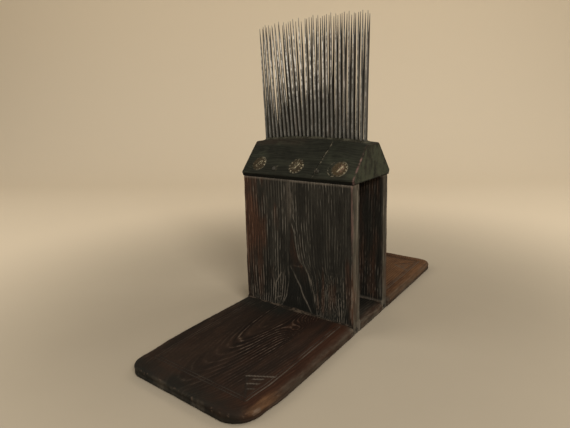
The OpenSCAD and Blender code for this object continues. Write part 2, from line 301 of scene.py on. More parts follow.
class Finish:
    """A material that is built from nodes."""

    def __init__(self, name):
        self.material = bpy.data.materials.new(name)
        self.material.use_nodes = True
        self.tree = self.material.node_tree
        self.shader = self.tree.nodes["Principled BSDF"]
        self.base = None

    def node(self, kind, settings=None, sockets=None):
        """Adds a node of any kind: its settings first, then the values or links of its sockets."""
        made = self.tree.nodes.new(kind)
        for key, value in (settings or {}).items():
            if key == "stops":
                ramp_ = made.color_ramp
                while len(ramp_.elements) < len(value):
                    ramp_.elements.new(0.5)
                for element, (position, colour) in zip(ramp_.elements, value):
                    element.position = position
                    element.color = (*colour, 1.0)
            else:
                setattr(made, key, value)
        for key, value in (sockets or {}).items():
            self.put(made.inputs[key], value)
        return made

    def put(self, socket, value):
        """Links a socket to a value, or sets the number or colour on it."""
        if isinstance(value, Value):
            self.tree.links.new(value.socket, socket)
        elif hasattr(value, "is_output"):
            self.tree.links.new(value, socket)
        elif socket.type == "RGBA" and len(value) == 3:
            socket.default_value = (*value, 1.0)
        else:
            socket.default_value = value

    def place(self, scale=(1.0, 1.0, 1.0), offset=(0.0, 0.0, 0.0)):
        """Object coordinates, moved and then scaled along each axis."""
        where = self.node("ShaderNodeTexCoord")
        mapping = self.node("ShaderNodeMapping", {}, {"Vector": where.outputs["Object"],
                                                      "Location": offset, "Scale": scale})
        return mapping.outputs[0]

    def noise(self, scale, where=None, detail=3.0, rough_=0.55, distort=0.0):
        """Noise from 0 to 1. scale is in cells for each metre where no place is given."""
        where = where if where is not None else self.place()
        made = self.node("ShaderNodeTexNoise", {}, {"Vector": where, "Scale": scale, "Detail": detail,
                                                    "Roughness": rough_, "Distortion": distort})
        return Value(self, made.outputs["Fac"])

    def field(self, name):
        """A piece's own field of numbers, stored on its points."""
        made = self.node("ShaderNodeAttribute", {"attribute_name": name})
        return Value(self, made.outputs["Fac"])

    def mixed(self, factor, first, second, how="MIX"):
        """Colour between first and second."""
        made = self.node("ShaderNodeMix", {"data_type": "RGBA", "blend_type": how, "clamp_factor": True})
        self.put(made.inputs[0], factor)
        self.put(made.inputs[6], first)
        self.put(made.inputs[7], second)
        return made.outputs[2]

    def bump(self, height, distance, strength=1.0, onto=None):
        """Normal of a bump whose height of 1 stands `distance` metres high."""
        made = self.node("ShaderNodeBump", {}, {"Strength": strength, "Distance": distance})
        self.put(made.inputs["Height"], height)
        if onto is not None:
            self.put(made.inputs["Normal"], onto)
        return made.outputs[0]

    def set(self, **sockets):
        """Sets or links sockets of the shader, with _ for a space in their names."""
        for key, value in sockets.items():
            self.put(self.shader.inputs[key.replace("_", " ")], value)
        return self.material


def scaled(colour, factor):
    """A colour with each channel times factor."""
    return tuple(c * factor for c in colour)


def wood_finish(name, colour, grain_axis, red, crest_highlight, pale, rubbed, gloss):
    """Old wood: streaks along the grain, darker hollows, wear on the ridges and arrises.

    grain_axis is the axis that the grain runs along. red is the colour of the redder patches,
    the colour after it that of the late-wood ridges, lightened as a painted highlight, pale of worn
    arrises and rubbed of rubbed margins. gloss smooths the ridges as handling does. The fields of
    the piece say where its ridges, wear, redder tint, rubbing, pale dust with painted highlights,
    green-black dirt with painted shade and grey sides are."""
    f = Finish(name)
    stretch = tuple(60.0 if axis == grain_axis else 900.0 for axis in range(3))
    broad_stretch = tuple(12.0 if axis == grain_axis else 80.0 for axis in range(3))
    streak = f.noise(1.0, f.place(stretch), 4.0, 0.62)
    fine = f.noise(2.6, f.place(stretch), 2.0, 0.5)
    broad = f.noise(1.0, f.place(broad_stretch), 3.0, 0.5)
    patch = f.noise(1.0, f.place(tuple(14.0 if axis == grain_axis else 34.0 for axis in range(3))), 3.0, 0.6)
    blotch = f.noise(1.0, f.place(tuple(45.0 if axis == grain_axis else 150.0 for axis in range(3))), 4.0, 0.65)
    speck = f.noise(620.0, None, 2.0, 0.5)
    ridge = f.field("ridge")
    green = f.field("green")
    base = f.mixed(broad.step(0.35, 0.7), scaled(colour, 0.65), scaled(colour, 1.4))
    redder = (f.field("tint") + (patch - 0.5) * 0.8 + (broad - 0.5) * 0.4).step(0.2, 0.9)
    base = f.mixed(redder, base, red)
    spots = f.field("rub") + (patch - 0.5) * 0.6 + (streak - 0.5) * 0.6 + (blotch - 0.5) * 0.8
    base = f.mixed(spots.step(0.2, 1.05), base, rubbed)
    # Green-black dirt, and painted shade: on the board between the uprights the green field stands for shade.
    grime = (green + (patch - 0.5) * 0.9 * green.step(0.0, 0.3)).clamped()
    base = f.mixed(grime * 0.85, base, (0.0085, 0.0100, 0.0078))
    side = (f.field("side") * (0.2 + broad.step(0.3, 0.65) * 0.45 + blotch.step(0.4, 0.62) * 0.55)).clamped()
    base = f.mixed(side * 0.85, base, (0.080, 0.068, 0.049))
    hollow = ((1.0 - ridge).step(0.25, 1.0) * (0.65 + fine.step(0.3, 0.62) * 0.35)).clamped()
    base = f.mixed(hollow * (0.82 - side * 0.25 + redder * 0.05), base, scaled(colour, 0.10))
    # Painted highlight on the ridge tops, partly the paler late wood itself.
    lit = (ridge.step(0.42, 0.9) * streak.step(0.3, 0.62) * (1.0 - grime * 0.35)).clamped()
    base = f.mixed(lit * (0.9 - redder * 0.35), base, crest_highlight)
    wear = f.field("wear")
    worn = (wear + ((streak - 0.5) * 0.7 + (blotch - 0.5) * 0.7) * wear.step(0.0, 0.2)).step(0.4, 0.95)
    base = f.mixed(worn, base, f.mixed(patch.step(0.4, 0.6), pale, scaled(pale, 0.62)))
    # On the uprights the dust field also carries painted highlights: a light line along the top of each face under the
    # head, and pale ridge tops low on the front face.
    dust = (f.field("dust") * (0.6 + speck.step(0.35, 0.6) * 0.4)).clamped()
    base = f.mixed(dust * 0.7, base, (0.138, 0.116, 0.090))
    roughness = (0.76 - lit * gloss * 0.42 - worn * 0.1 + hollow * 0.2 + dust * 0.2 + (fine - 0.5) * 0.16).clamped()
    bump = f.bump(streak * 0.7 + fine * 0.3, 0.0003, 0.7)
    f.set(Base_Color=base, Roughness=roughness, Normal=bump, Specular_IOR_Level=0.15)
    f.base = base
    return f


def iron_finish(name, colour, rust, rust_share):
    """Forged iron: dark scale and brown patches, with a painted highlight on worn lengths, partly real polish, and
    painted glints; grease and painted shade darken the lower tines.
    """
    f = Finish(name)
    scale_ = f.noise(1.0, f.place((700.0, 700.0, 26.0)), 3.0, 0.5)
    patch = f.noise(1.0, f.place((90.0, 90.0, 30.0)), 3.0, 0.55)
    grit = f.noise(1700.0, None, 2.0, 0.5)
    shine = f.field("shine")
    brown = (patch + (scale_ - 0.5) * 0.5).step(0.62 - rust_share * 0.3, 0.78 - rust_share * 0.2)
    foot = f.field("grime")
    # On the tines the sides away from the highlight stay this dark, as painted shade.
    base = f.mixed(scale_.step(0.3, 0.7), scaled(colour, 0.16), scaled(colour, 0.5))
    base = f.mixed(brown * 0.7, base, rust)
    # Painted highlight, partly worn polish: the bright side four times the iron colour.
    base = f.mixed((shine * (0.55 + grit.step(0.4, 0.6) * 0.3 + (scale_ - 0.5) * 0.6)).clamped(), base, scaled(colour, 4.0))
    # Painted glints: pale specks in the highlight, made less metallic so that they show.
    glint = shine.step(0.2, 0.6) * f.noise(1.0, f.place((380.0, 380.0, 150.0)), 2.0, 0.6).step(0.46, 0.58)
    base = f.mixed(glint * 0.9, base, scaled(colour, 5.8))
    # Grease at the feet and painted shade up the lower tines.
    base = f.mixed(foot.clamped(), base, (0.030, 0.028, 0.018))
    metallic = ((1.0 - brown * 0.7) * (1.0 - foot * 0.9) * (1.0 - glint * 0.6)).clamped()
    roughness = (0.34 + scale_ * 0.12 + brown * 0.3 + foot * 0.3).clamped()
    bump = f.bump(scale_ * 0.7 + grit * 0.3, 0.0001, 0.5)
    return f.set(Base_Color=base, Roughness=roughness, Metallic=metallic, Normal=bump)


def grime_finish(name, dark, light):
    """Old wool grease and dust: matt, lumpy, olive."""
    f = Finish(name)
    lumps = f.noise(420.0, None, 4.0, 0.6)
    fine = f.noise(2200.0, None, 2.0, 0.5)
    patch = f.noise(75.0, None, 2.0, 0.5)
    base = f.mixed((lumps * 0.5 + patch * 0.5).step(0.42, 0.62), dark, light)
    bump = f.bump(lumps * 0.7 + fine * 0.3, 0.0006, 0.8)
    return f.set(Base_Color=base, Roughness=0.9, Normal=bump, Specular_IOR_Level=0.12)


def head_finish(name, colour):
    """Greasy wood with pale residue in its carving, olive ground in its rosettes, and pinkish wear
    on the arrises."""
    f = wood_finish(name, colour, 0, (0.026, 0.016, 0.0105), (0.022, 0.0225, 0.0155), (0.15, 0.090, 0.074),
                    (0.041, 0.046, 0.028), 0.35)
    crumbs = f.noise(700.0, None, 3.0, 0.6)
    base = f.mixed((f.field("ground") * (0.5 + crumbs * 0.6)).clamped(),
                   f.base, (0.050, 0.034, 0.016))
    base = f.mixed((f.field("patch") * (0.6 + crumbs * 0.8)).clamped(), base, (0.20, 0.125, 0.085))
    residue = (f.field("residue") * (0.25 + crumbs.step(0.36, 0.58))).clamped()
    base = f.mixed(residue * 0.9, base, (0.36, 0.31, 0.21))
    # Near-black split, and painted shade on the faces under the lip.
    base = f.mixed(f.field("crack").clamped(), base, (0.002, 0.002, 0.002))
    return f.set(Base_Color=base)


# Outlines that several pieces share


def head_top_z(x):
    """Height of the crowned top of the head: an arc through both ends and the middle."""
    half = (HEAD_HIGH[0] - HEAD_LOW[0]) / 2
    crown = 5.5
    radius = (half ** 2 + crown ** 2) / (2 * crown)
    return HEAD_HIGH[2] - radius + np.sqrt(radius ** 2 - np.clip(np.abs(x), 0, half) ** 2)


def arris_drop(distance, radius):
    """How far a face falls away within `radius` of its edge: a quarter round."""
    inside = np.clip(radius - distance, 0, radius)
    return radius - np.sqrt(np.maximum(radius ** 2 - inside ** 2, 0))


# Foot board


BOARD_EDGE_R = 4.5
NEAR_CORNER_R = (17.0, 34.0)
FAR_CORNER_R = 20.0
EDGE_LINES = np.array([0.0, 0.4, 1.0, 1.8, 2.8, 4.0, 5.4, 7.0])
BORDER_X = (79.0, 83.5)
BORDER_NEAR = (28.5, 33.0)
BORDER_FAR = (19.0, 23.5)
BORDER_W = 1.3
NOTCH_X = 78.4
TENON_X = (26.9, 63.1)


def board_half_width(y, side):
    """Half width of the board along its length on one side: slightly bowed, worn narrower towards
    the near end, and rounded at the corners."""
    near, far = BOARD_LOW[1], BOARD_HIGH[1]
    stations = (near, near + 39.5, near + 66, -150, FRONT_LOW[1] - 20, REAR_HIGH[1] + 10, 180, far)
    widths = (97.2, 98.6, 101.8, 102.1, 101.5, 101.7, 101.3, 100.2)
    if side < 0:
        widths = (95.2, 97.9, 101.0, 101.9, 101.5, 101.6, 101.4, 100.0)
    width = np.interp(y, stations, widths)
    for end, radius in ((y - near, NEAR_CORNER_R[int(side > 0)]), (far - y, FAR_CORNER_R)):
        inside = np.clip(radius - end, 0, radius)
        width = width - radius + np.sqrt(np.maximum(radius ** 2 - inside ** 2, 0))
    return width


def board_edge_distance(x, y, width):
    """Distance in from the outline, from the gaps to the long edge and to the end: the two are
    joined like the sides of a right-angled triangle whose height is the distance."""
    side = np.maximum(width - np.abs(x), 0)
    end = np.minimum(y - BOARD_LOW[1], BOARD_HIGH[1] - y)
    slope = np.abs(np.gradient(width, axis=1) / np.gradient(y, axis=1))
    return np.maximum(np.minimum(side / np.hypot(1, np.minimum(slope, 30)), end), 0)


def board_figure(x, y):
    """Growth rings of the flat-sawn board, counted outwards from the pith line of a long leaf-shaped
    eye whose tip points to the near end. The rings bulge round a knot beside the eye and close
    there into loops. Returns the count and the distance from the eye's middle line."""
    wander = 2.2 * noise(x / 40, y / 70, 3) + 0.7 * noise(x / 13, y / 30, 4)
    eye = np.hypot(x + 13 + wander * ramp(np.abs(x + 13), 8, 30), (np.minimum(y, -60) + 60) / 5.06)
    knot = np.hypot(x - 40, (y + 93) / 1.25)
    rings = eye - 27 * np.exp(-(knot / 19) ** 2)
    far = np.hypot(x - 12 + wander, (np.minimum(y, 150) - 150) / 9.0)
    rings = np.where(y > 0, far, rings)
    return (rings - 20.6) / 4.3 + 0.72 + 0.12 * noise(x / 5, y / 18, 8), eye


def board_ornament(x, y):
    """Depth from 0 to 1 of the cuts, and a share of pale colour in them: a double border on each side
    of the stand, and in each right-hand corner a triangle with hatching."""
    front, rear = FRONT_LOW[1] - 7, REAR_HIGH[1] + 4
    cut, dust = np.zeros(np.shape(x)), np.zeros(np.shape(x))
    half = BORDER_W / 2 + 0.25
    for end, insets, stop, way in ((BOARD_LOW[1], BORDER_NEAR, front, 1), (BOARD_HIGH[1], BORDER_FAR, rear, -1)):
        for k in range(2):
            side_x, end_y = BORDER_X[1 - k], end + way * insets[k]
            lines = [(side * side_x, end_y, side * side_x, stop) for side in (-1, 1)]
            lines.append((-side_x, end_y, side_x, end_y))
            for line in lines:
                share = 1 - stroke(x, y, *line) / half
                cut = np.maximum(cut, share)
                patchy = np.clip(0.7 + 0.5 * noise(x / 16, y / 16, 17), 0.15, 1)
                dust = np.maximum(dust, share * ((1.5, 0.5)[k] if line[0] > 0 else 0.3) * patchy)
    for way, tip in ((1, -204.4), (-1, 208.0)):
        lines = [(80.2, tip, 49.4, tip - way * 17.2, 1.0), (49.4, tip - way * 17.2, 79.0, tip - way * 50.5, 0.1),
                 (70.6, tip - way * 12.2, 60.7, tip - way * 18.4, 0.9), (72.7, tip - way * 21.6, 60.9, tip - way * 28.6, 0.8),
                 (75.0, tip - way * 32.0, 68.0, tip - way * 36.6, 0.4)]
        for ax, ay, bx, by, pale in lines:
            share = 1 - stroke(x, y, ax, ay, bx, by) / 1.35
            cut = np.maximum(cut, 0.9 * share)
            dust = np.maximum(dust, 1.3 * pale * share)
    return np.clip(cut, 0, 1), np.clip(dust * 1.4, 0, 1)


def board_grid():
    """Grid lines of the board in nominal x and real y, close together where it is carved."""
    inner = spaced((-93, -36, 1.8), (-36, 58, 0.95), (58, 93, 0.9))
    lines = [s * (b + d) for s in (-1, 1) for b in BORDER_X for d in (-0.7, 0, 0.7)]
    lines += [s * v for s in (-1, 1) for v in (NOTCH_X, *TENON_X)]
    inner = with_lines(inner, lines)
    low, high = BOARD_LOW[1], BOARD_HIGH[1]
    y = spaced((low, low + 1.2, 0.4), (low + 1.2, low + 6, 1.0), (low + 6, -262, 2.2), (-262, -200, 1.8),
               (-200, -165, 2.4), (-165, -48, 1.85), (-48, 74, 4.0), (74, 200, 4.0), (200, 262, 2.0),
               (262, high - 6, 3.0), (high - 6, high - 1.2, 1.0), (high - 1.2, high, 0.4))
    ends = [low + v + d for v in BORDER_NEAR for d in (-0.7, 0, 0.7)]
    ends += [high - v + d for v in BORDER_FAR for d in (-0.7, 0, 0.7)]
    ends += [FRONT_LOW[1] - 0.1, FRONT_HIGH[1] + 0.1, REAR_LOW[1] - 0.1, REAR_HIGH[1] + 0.1]
    return inner, with_lines(y, ends)


def build_board(sizes):
    """Foot board: a closed sheet over (x, y). Its top is the thickness less the quarter round of
    the edge, the cuts and the wear, plus the ridges of the growth rings."""
    inner, y = board_grid()
    left, right = board_half_width(y, -1), board_half_width(y, 1)
    reach = EDGE_LINES[-1]
    scale = [(w - reach) / (102.0 - reach) for w in (left, right)]
    nominal = np.concatenate([-102.0 + EDGE_LINES[:-1], inner, (102.0 - EDGE_LINES[:-1])[::-1]])
    middle = inner[:, None] * np.where(inner[:, None] < 0, scale[0][None], scale[1][None])
    x = np.concatenate([-left[None] + EDGE_LINES[:-1, None], middle, (right[None] - EDGE_LINES[:-1, None])[::-1]])
    nominal = np.broadcast_to(nominal[:, None], x.shape)
    yy = np.broadcast_to(y[None], x.shape)

    width = np.where(nominal < 0, left[None], right[None])
    edge = board_edge_distance(x, yy, width)
    edge_r = BOARD_EDGE_R + 1.3 * rough(x / 30, yy / 24, 11) + 1.5 * ramp(x, 60, 100) * ramp(-yy, 60, 230)
    ring, eye = board_figure(nominal, yy)
    dashes = 0.6 + 0.4 * ramp(noise(nominal / 2.4, yy / 11, 23) + 0.5 * noise(nominal / 1.3, yy / 5, 24), -0.6, 0.4)
    ridge = rings_to_ridges(ring, 3.2) * dashes
    near = yy < 0
    strong = ramp(eye, 17.5, 20.5) * ramp(-eye, -66, -50) * ramp(yy, -205, -165) * near * ramp(nominal, -48, -38)
    strong = 1.25 * strong * (1 - 0.85 * ramp(-nominal, 9, 15) * ramp(eye, 21.5, 24))
    spots = np.exp(-((nominal + 13) / 5) ** 2 - ((yy + 164) / 9) ** 2)
    spots = spots + np.exp(-((nominal - 21) / 6) ** 2 - ((yy + 95) / 12) ** 2)
    amount = np.clip(0.2 + 1.0 * strong * np.clip(1 - 0.8 * spots, 0, 1) + 0.25 * rough(nominal / 45, yy / 60, 21) + 0.2 * (yy > 0), 0.1, 1.1)
    cut, dust = board_ornament(nominal, yy)
    dents = np.clip(rough(nominal / 3.2, yy / 4.4, 31) - 0.45, 0, 1)
    nibbles = ramp(-edge, -6, 0) * np.clip(rough(x / 6, yy / 6, 41) - 0.05, 0, 1)
    nibbles = nibbles + 1.3 * ramp(-edge, -4.5, 0) * np.clip(rough(x / 11, yy / 11, 45) - 0.22, 0, 1) * ramp(-yy, 240, 280)
    flat = ramp(edge, 1.5, 7.0)
    grain = sizes.board_grain_depth / MM
    bevel = 1.1 * ramp(-edge, -13, -2) * ramp(x, 70, 95)
    top = (BOARD_TOP - 0.45 - arris_drop(edge, edge_r) - 0.85 * cut - 0.5 * dents * flat - bevel
           - 1.4 * nibbles + 1.6 * grain * (ridge - 0.45) * amount * (0.3 + 0.7 * flat)
           + 0.22 * rough(x / 70, yy / 60, 51))
    top = np.minimum(top, BOARD_TOP)
    under = 0.15 + arris_drop(edge, 0.8 * BOARD_EDGE_R) + 0.8 * nibbles + 0.12 * (1 - rings_to_ridges(ring + 0.4))

    front = np.stack([x, yy, top], -1)
    back = np.stack([x, yy, np.maximum(under, 0)], -1)
    hollow = np.zeros(front.shape)
    hollow[0, :, 0] = 0.15 + 0.45 * (1 + rough(yy[0] / 22, yy[0] * 0, 43))
    hollow[-1, :, 0] = -0.15 - 0.45 * (1 + rough(yy[-1] / 22, yy[-1] * 0, 44))
    hollow[:, 0, 1] = 0.3 + 0.8 * (1 + rough(x[:, 0] / 9, x[:, 0] * 0, 46))
    hollow[:, -1, 1] = -0.3 - 0.8 * (1 + rough(x[:, -1] / 9, x[:, -1] * 0, 47))
    mid_x = (nominal[:-1, :-1] + nominal[1:, 1:]) / 2
    mid_y = (yy[:-1, :-1] + yy[1:, 1:]) / 2
    keep = np.ones(mid_x.shape, bool)
    for low, high in ((FRONT_LOW[1], FRONT_HIGH[1]), (REAR_LOW[1], REAR_HIGH[1])):
        rows = (mid_y > low - 0.1) & (mid_y < high + 0.1)
        tenon = (np.abs(mid_x) > TENON_X[0]) & (np.abs(mid_x) < TENON_X[1])
        keep &= ~(rows & ((np.abs(mid_x) > NOTCH_X) | tenon))
    verts, quads, used, shape = thick_sheet(front, back, keep, 5, hollow)

    height = verts[:, 2]
    long_edge = ramp(np.abs(x), 78, 101)
    ends = 0.55 + 0.45 * ramp(-yy, 120, 230)
    worn = ramp(-edge, -8, -1) * (0.1 + 0.22 * ramp(x, 60, 101) * ends + 0.12 * rough(x / 18, yy / 22, 48)) * long_edge
    chips = ramp(rough(x / 3.2, yy / 3.2, 49), 0.05, 0.5) * ramp(-edge, -3.8, -0.5)
    worn = worn + chips * (0.2 + 0.6 * ramp(-yy, 278, 284) + 0.3 * ramp(x, 70, 95) * ramp(-yy, 215, 262)
                           + 0.35 * ramp(x, 80, 98) * ramp(yy, -70, -45) * ramp(-yy, -130, -60))
    wear = np.clip(worn, 0, 1) * (1 - cut)
    walls = ramp(height, BOARD_TOP - 13, BOARD_TOP - 5)
    tint = np.clip(0.27 + 0.6 * ramp(nominal, 62, 92) + 0.35 * rough(nominal / 40, yy / 90, 61)
                   + 0.55 * ramp(yy, 60, 150) * ramp(nominal, -60, 60), 0, 1)
    green = ramp(-yy, 258, 278) * 0.9 * ramp(-x, -99, -84) * (0.75 + 0.5 * rough(x / 22, yy / 9, 65)) + 0.9 * ramp(yy, -96, -60) * ramp(-x, -12, 20) * near
    # Painted shade: the board's top between the uprights, all but its right edge, darkened green-black.
    green = green + 1.0 * ramp(yy, FRONT_HIGH[1] - 2, FRONT_HIGH[1] + 2) * (yy < REAR_LOW[1] + 2) * ramp(-x, -100, -86)
    green = np.clip(green + 0.35 * rough(nominal / 24, yy / 24, 62) * ramp(-yy, 200, 260), 0, 1)
    far = ramp(yy, REAR_HIGH[1], REAR_HIGH[1] + 12)
    corner = ramp(nominal, 80, 93) * ramp(-yy, 205, 245) * ramp(yy, -284, -268) * ramp(-edge, -15, -3)
    rub = 0.12 * ramp(nominal, 84, 97) * (yy < FRONT_LOW[1]) + 0.6 * np.clip(corner, 0, 1) + far * (0.48 + 0.3 * ramp(x, -60, 90))
    rub = np.clip(rub + 0.25 * rough(nominal / 14, yy / 40, 63) * (rub > 0.02), 0, 1)
    patches = 0.5 + 0.9 * rough(x / 9, yy / 9, 64)
    side = ramp(-edge, -8, -2) * (0.2 + 0.42 * ramp(x, 60, 98)) * (1 - 0.7 * np.clip(corner, 0, 1)) * (1 - 0.8 * ramp(-yy, 262, 282))
    side = side + 0.3 * ramp(yy, -62, -48) * ramp(-yy, -90, -70) * ramp(x, 68, 88) + 0.7 * patches * ramp(-yy, 284.6, 286) * ramp(-x, -84, -60)
    shown = 0.45 + (ridge - 0.45) * np.clip(amount, 0, 1)
    fields = {
        "ridge": field_on(used, shape, np.clip(shown - cut, 0, 1)),
        "wear": field_on(used, shape, wear) * (0.25 + 0.75 * walls),
        "rub": field_on(used, shape, rub) * (0.3 + 0.7 * walls),
        "side": np.clip(field_on(used, shape, side), 0, 1),
        "tint": field_on(used, shape, tint),
        "dust": field_on(used, shape, dust, dust * 0),
        # The green field also darkens towards the bottom of the board's walls.
        "green": np.clip(field_on(used, shape, green) + 0.35 * ramp(-height, -9, -2), 0, 1),
    }
    return verts, quads, fields


# Uprights


UPRIGHT_EDGE_R = 2.6
FRONT_OUTER = (
    ((-8, 156), (-12, 110), (-13, 64), (-19, 36), (-26, 22)),
    ((-5, 156), (-1, 144), (2, 119), (9, 97), (16, 92), (24, 82), (28, 70), (33, 52), (39, 16)))
FRONT_LEGS = (
    (0.95, 1.6, FRONT_OUTER[1]),
    (0.95, 1.6, ((-13, 86), (-13, 64), (-19, 36), (-29, 16))),
    (1.0, 1.8, ((-9, 88), (-3, 78), (9, 57), (15, 43), (30, 16))),
    (0.6, 1.9, ((-12, 88), (-4, 90), (6, 90), (16, 92))),
    (0.8, 1.4, ((26, 133), (32, 101), (37, 75), (42, 30))),
    (0.8, 1.3, ((18, 92), (24, 80), (31, 44), (34, 24))),
    (0.8, 1.4, ((-20, 165), (-23, 100), (-22, 73), (-26, 45))),
    (0.85, 1.4, ((-15, 118), (-15, 101), (-23, 64))),
    (0.8, 1.4, ((-35, 97), (-37, 81), (-45, 38))),
    (0.8, 1.4, ((-27, 74), (-39, 52), (-42, 24))),
    (0.85, 1.7, ((-27, 34), (-38, 29), (-42, 22))),
    (0.7, 1.2, ((3, 39), (3, 26))),
    (0.7, 1.2, ((7, 38), (8, 26))),
    (0.75, 1.6, ((-7, 212), (-5, 191), (0, 178), (-3, 168), (3, 158), (-1, 144))),
    (0.75, 1.6, ((-18, 216), (-20, 184), (-21, 165))),
    (0.6, 1.4, ((-50, 194), (-50, 176))))


def at_height(line, z):
    """x of a line of (x, z) points at each height."""
    points = np.array(sorted(line, key=lambda point: point[1]))
    return np.interp(z, points[:, 1], points[:, 0])


def arch(middle, half, apex):
    """Line of a pointed growth ring: x runs from side to side and z falls from the apex by the
    power 1.6 of the share of x. Returned as its left and right legs, from the apex down."""
    t = np.linspace(0, 1, 9)
    fall = apex - (apex - BOARD_TOP) * t ** 1.6
    return [tuple(zip(middle - half * t, fall)), tuple(zip(middle + half * t, fall))]


def upright_figure(x, z, seed, legs, outer):
    """Ridges of an upright's growth rings: fine vertical lines in two spacings that noise bends and
    breaks into dashes. The two outer legs of the figure push them aside by an exponential of the
    distance, and between these legs they fade. legs are strong ridges along lines of points."""
    left, right = (at_height(line, z) for line in outer)
    left_top, right_top = (max(line, key=lambda point: point[1])[0] for line in outer)
    push = 0.5 * (right - right_top) * np.exp(-np.maximum(x - right, 0) / 22) * (x > (left + right) / 2)
    push = push + 0.6 * (left - left_top) * np.exp(-np.maximum(left - x, 0) / 22) * (x <= (left + right) / 2)
    worm = ramp(x, 30, 50) * ramp(-x, -92, -80) * ramp(z, 18, 34) * ramp(-z, -125, -80)
    wander = 1.6 * noise(x / 26, z / 80, seed) + 0.7 * noise(x / 9, z / 26, seed + 1) + 0.8 * worm * noise(x / 5, z / 12, seed + 2)
    across = x - push + wander
    lines = across / 4.9 + 0.0001 * across ** 2
    dashes = 0.4 + 0.6 * ramp(noise(lines, z / 17, seed + 3) + 0.6 * noise(2 * lines, z / 6, seed + 4), -0.7, 0.5)
    dashes = dashes * (1 - 0.7 * worm * ramp(noise(x / 2.6, z / 5, seed + 5), -0.1, 0.5))
    between = 0.75 * rings_to_ridges(2 * lines + 0.3, 1.8) * (1.3 - dashes)
    fine = np.maximum(rings_to_ridges(lines, 2.2) * dashes, between)
    apex = max(point[1] for line in outer for point in line)
    inside = ramp(np.minimum(x - left, right - x), 0, 3) * ramp(-z, -apex - 15, -apex + 5)
    ridge = fine * (1 - 0.7 * inside)
    for strength, width, line in legs:
        shift = 0.9 * noise(x / 12, z / 12, seed + 6)
        for (ax, az), (bx, bz) in zip(line[:-1], line[1:]):
            share = strength * (1 - (stroke(x + shift, z, ax, az, bx, bz) / width) ** 2)
            ridge = np.maximum(ridge, share * (0.75 + 0.25 * noise(x / 3, z / 7, seed + 7)))
    return np.clip(ridge, 0, 1), inside


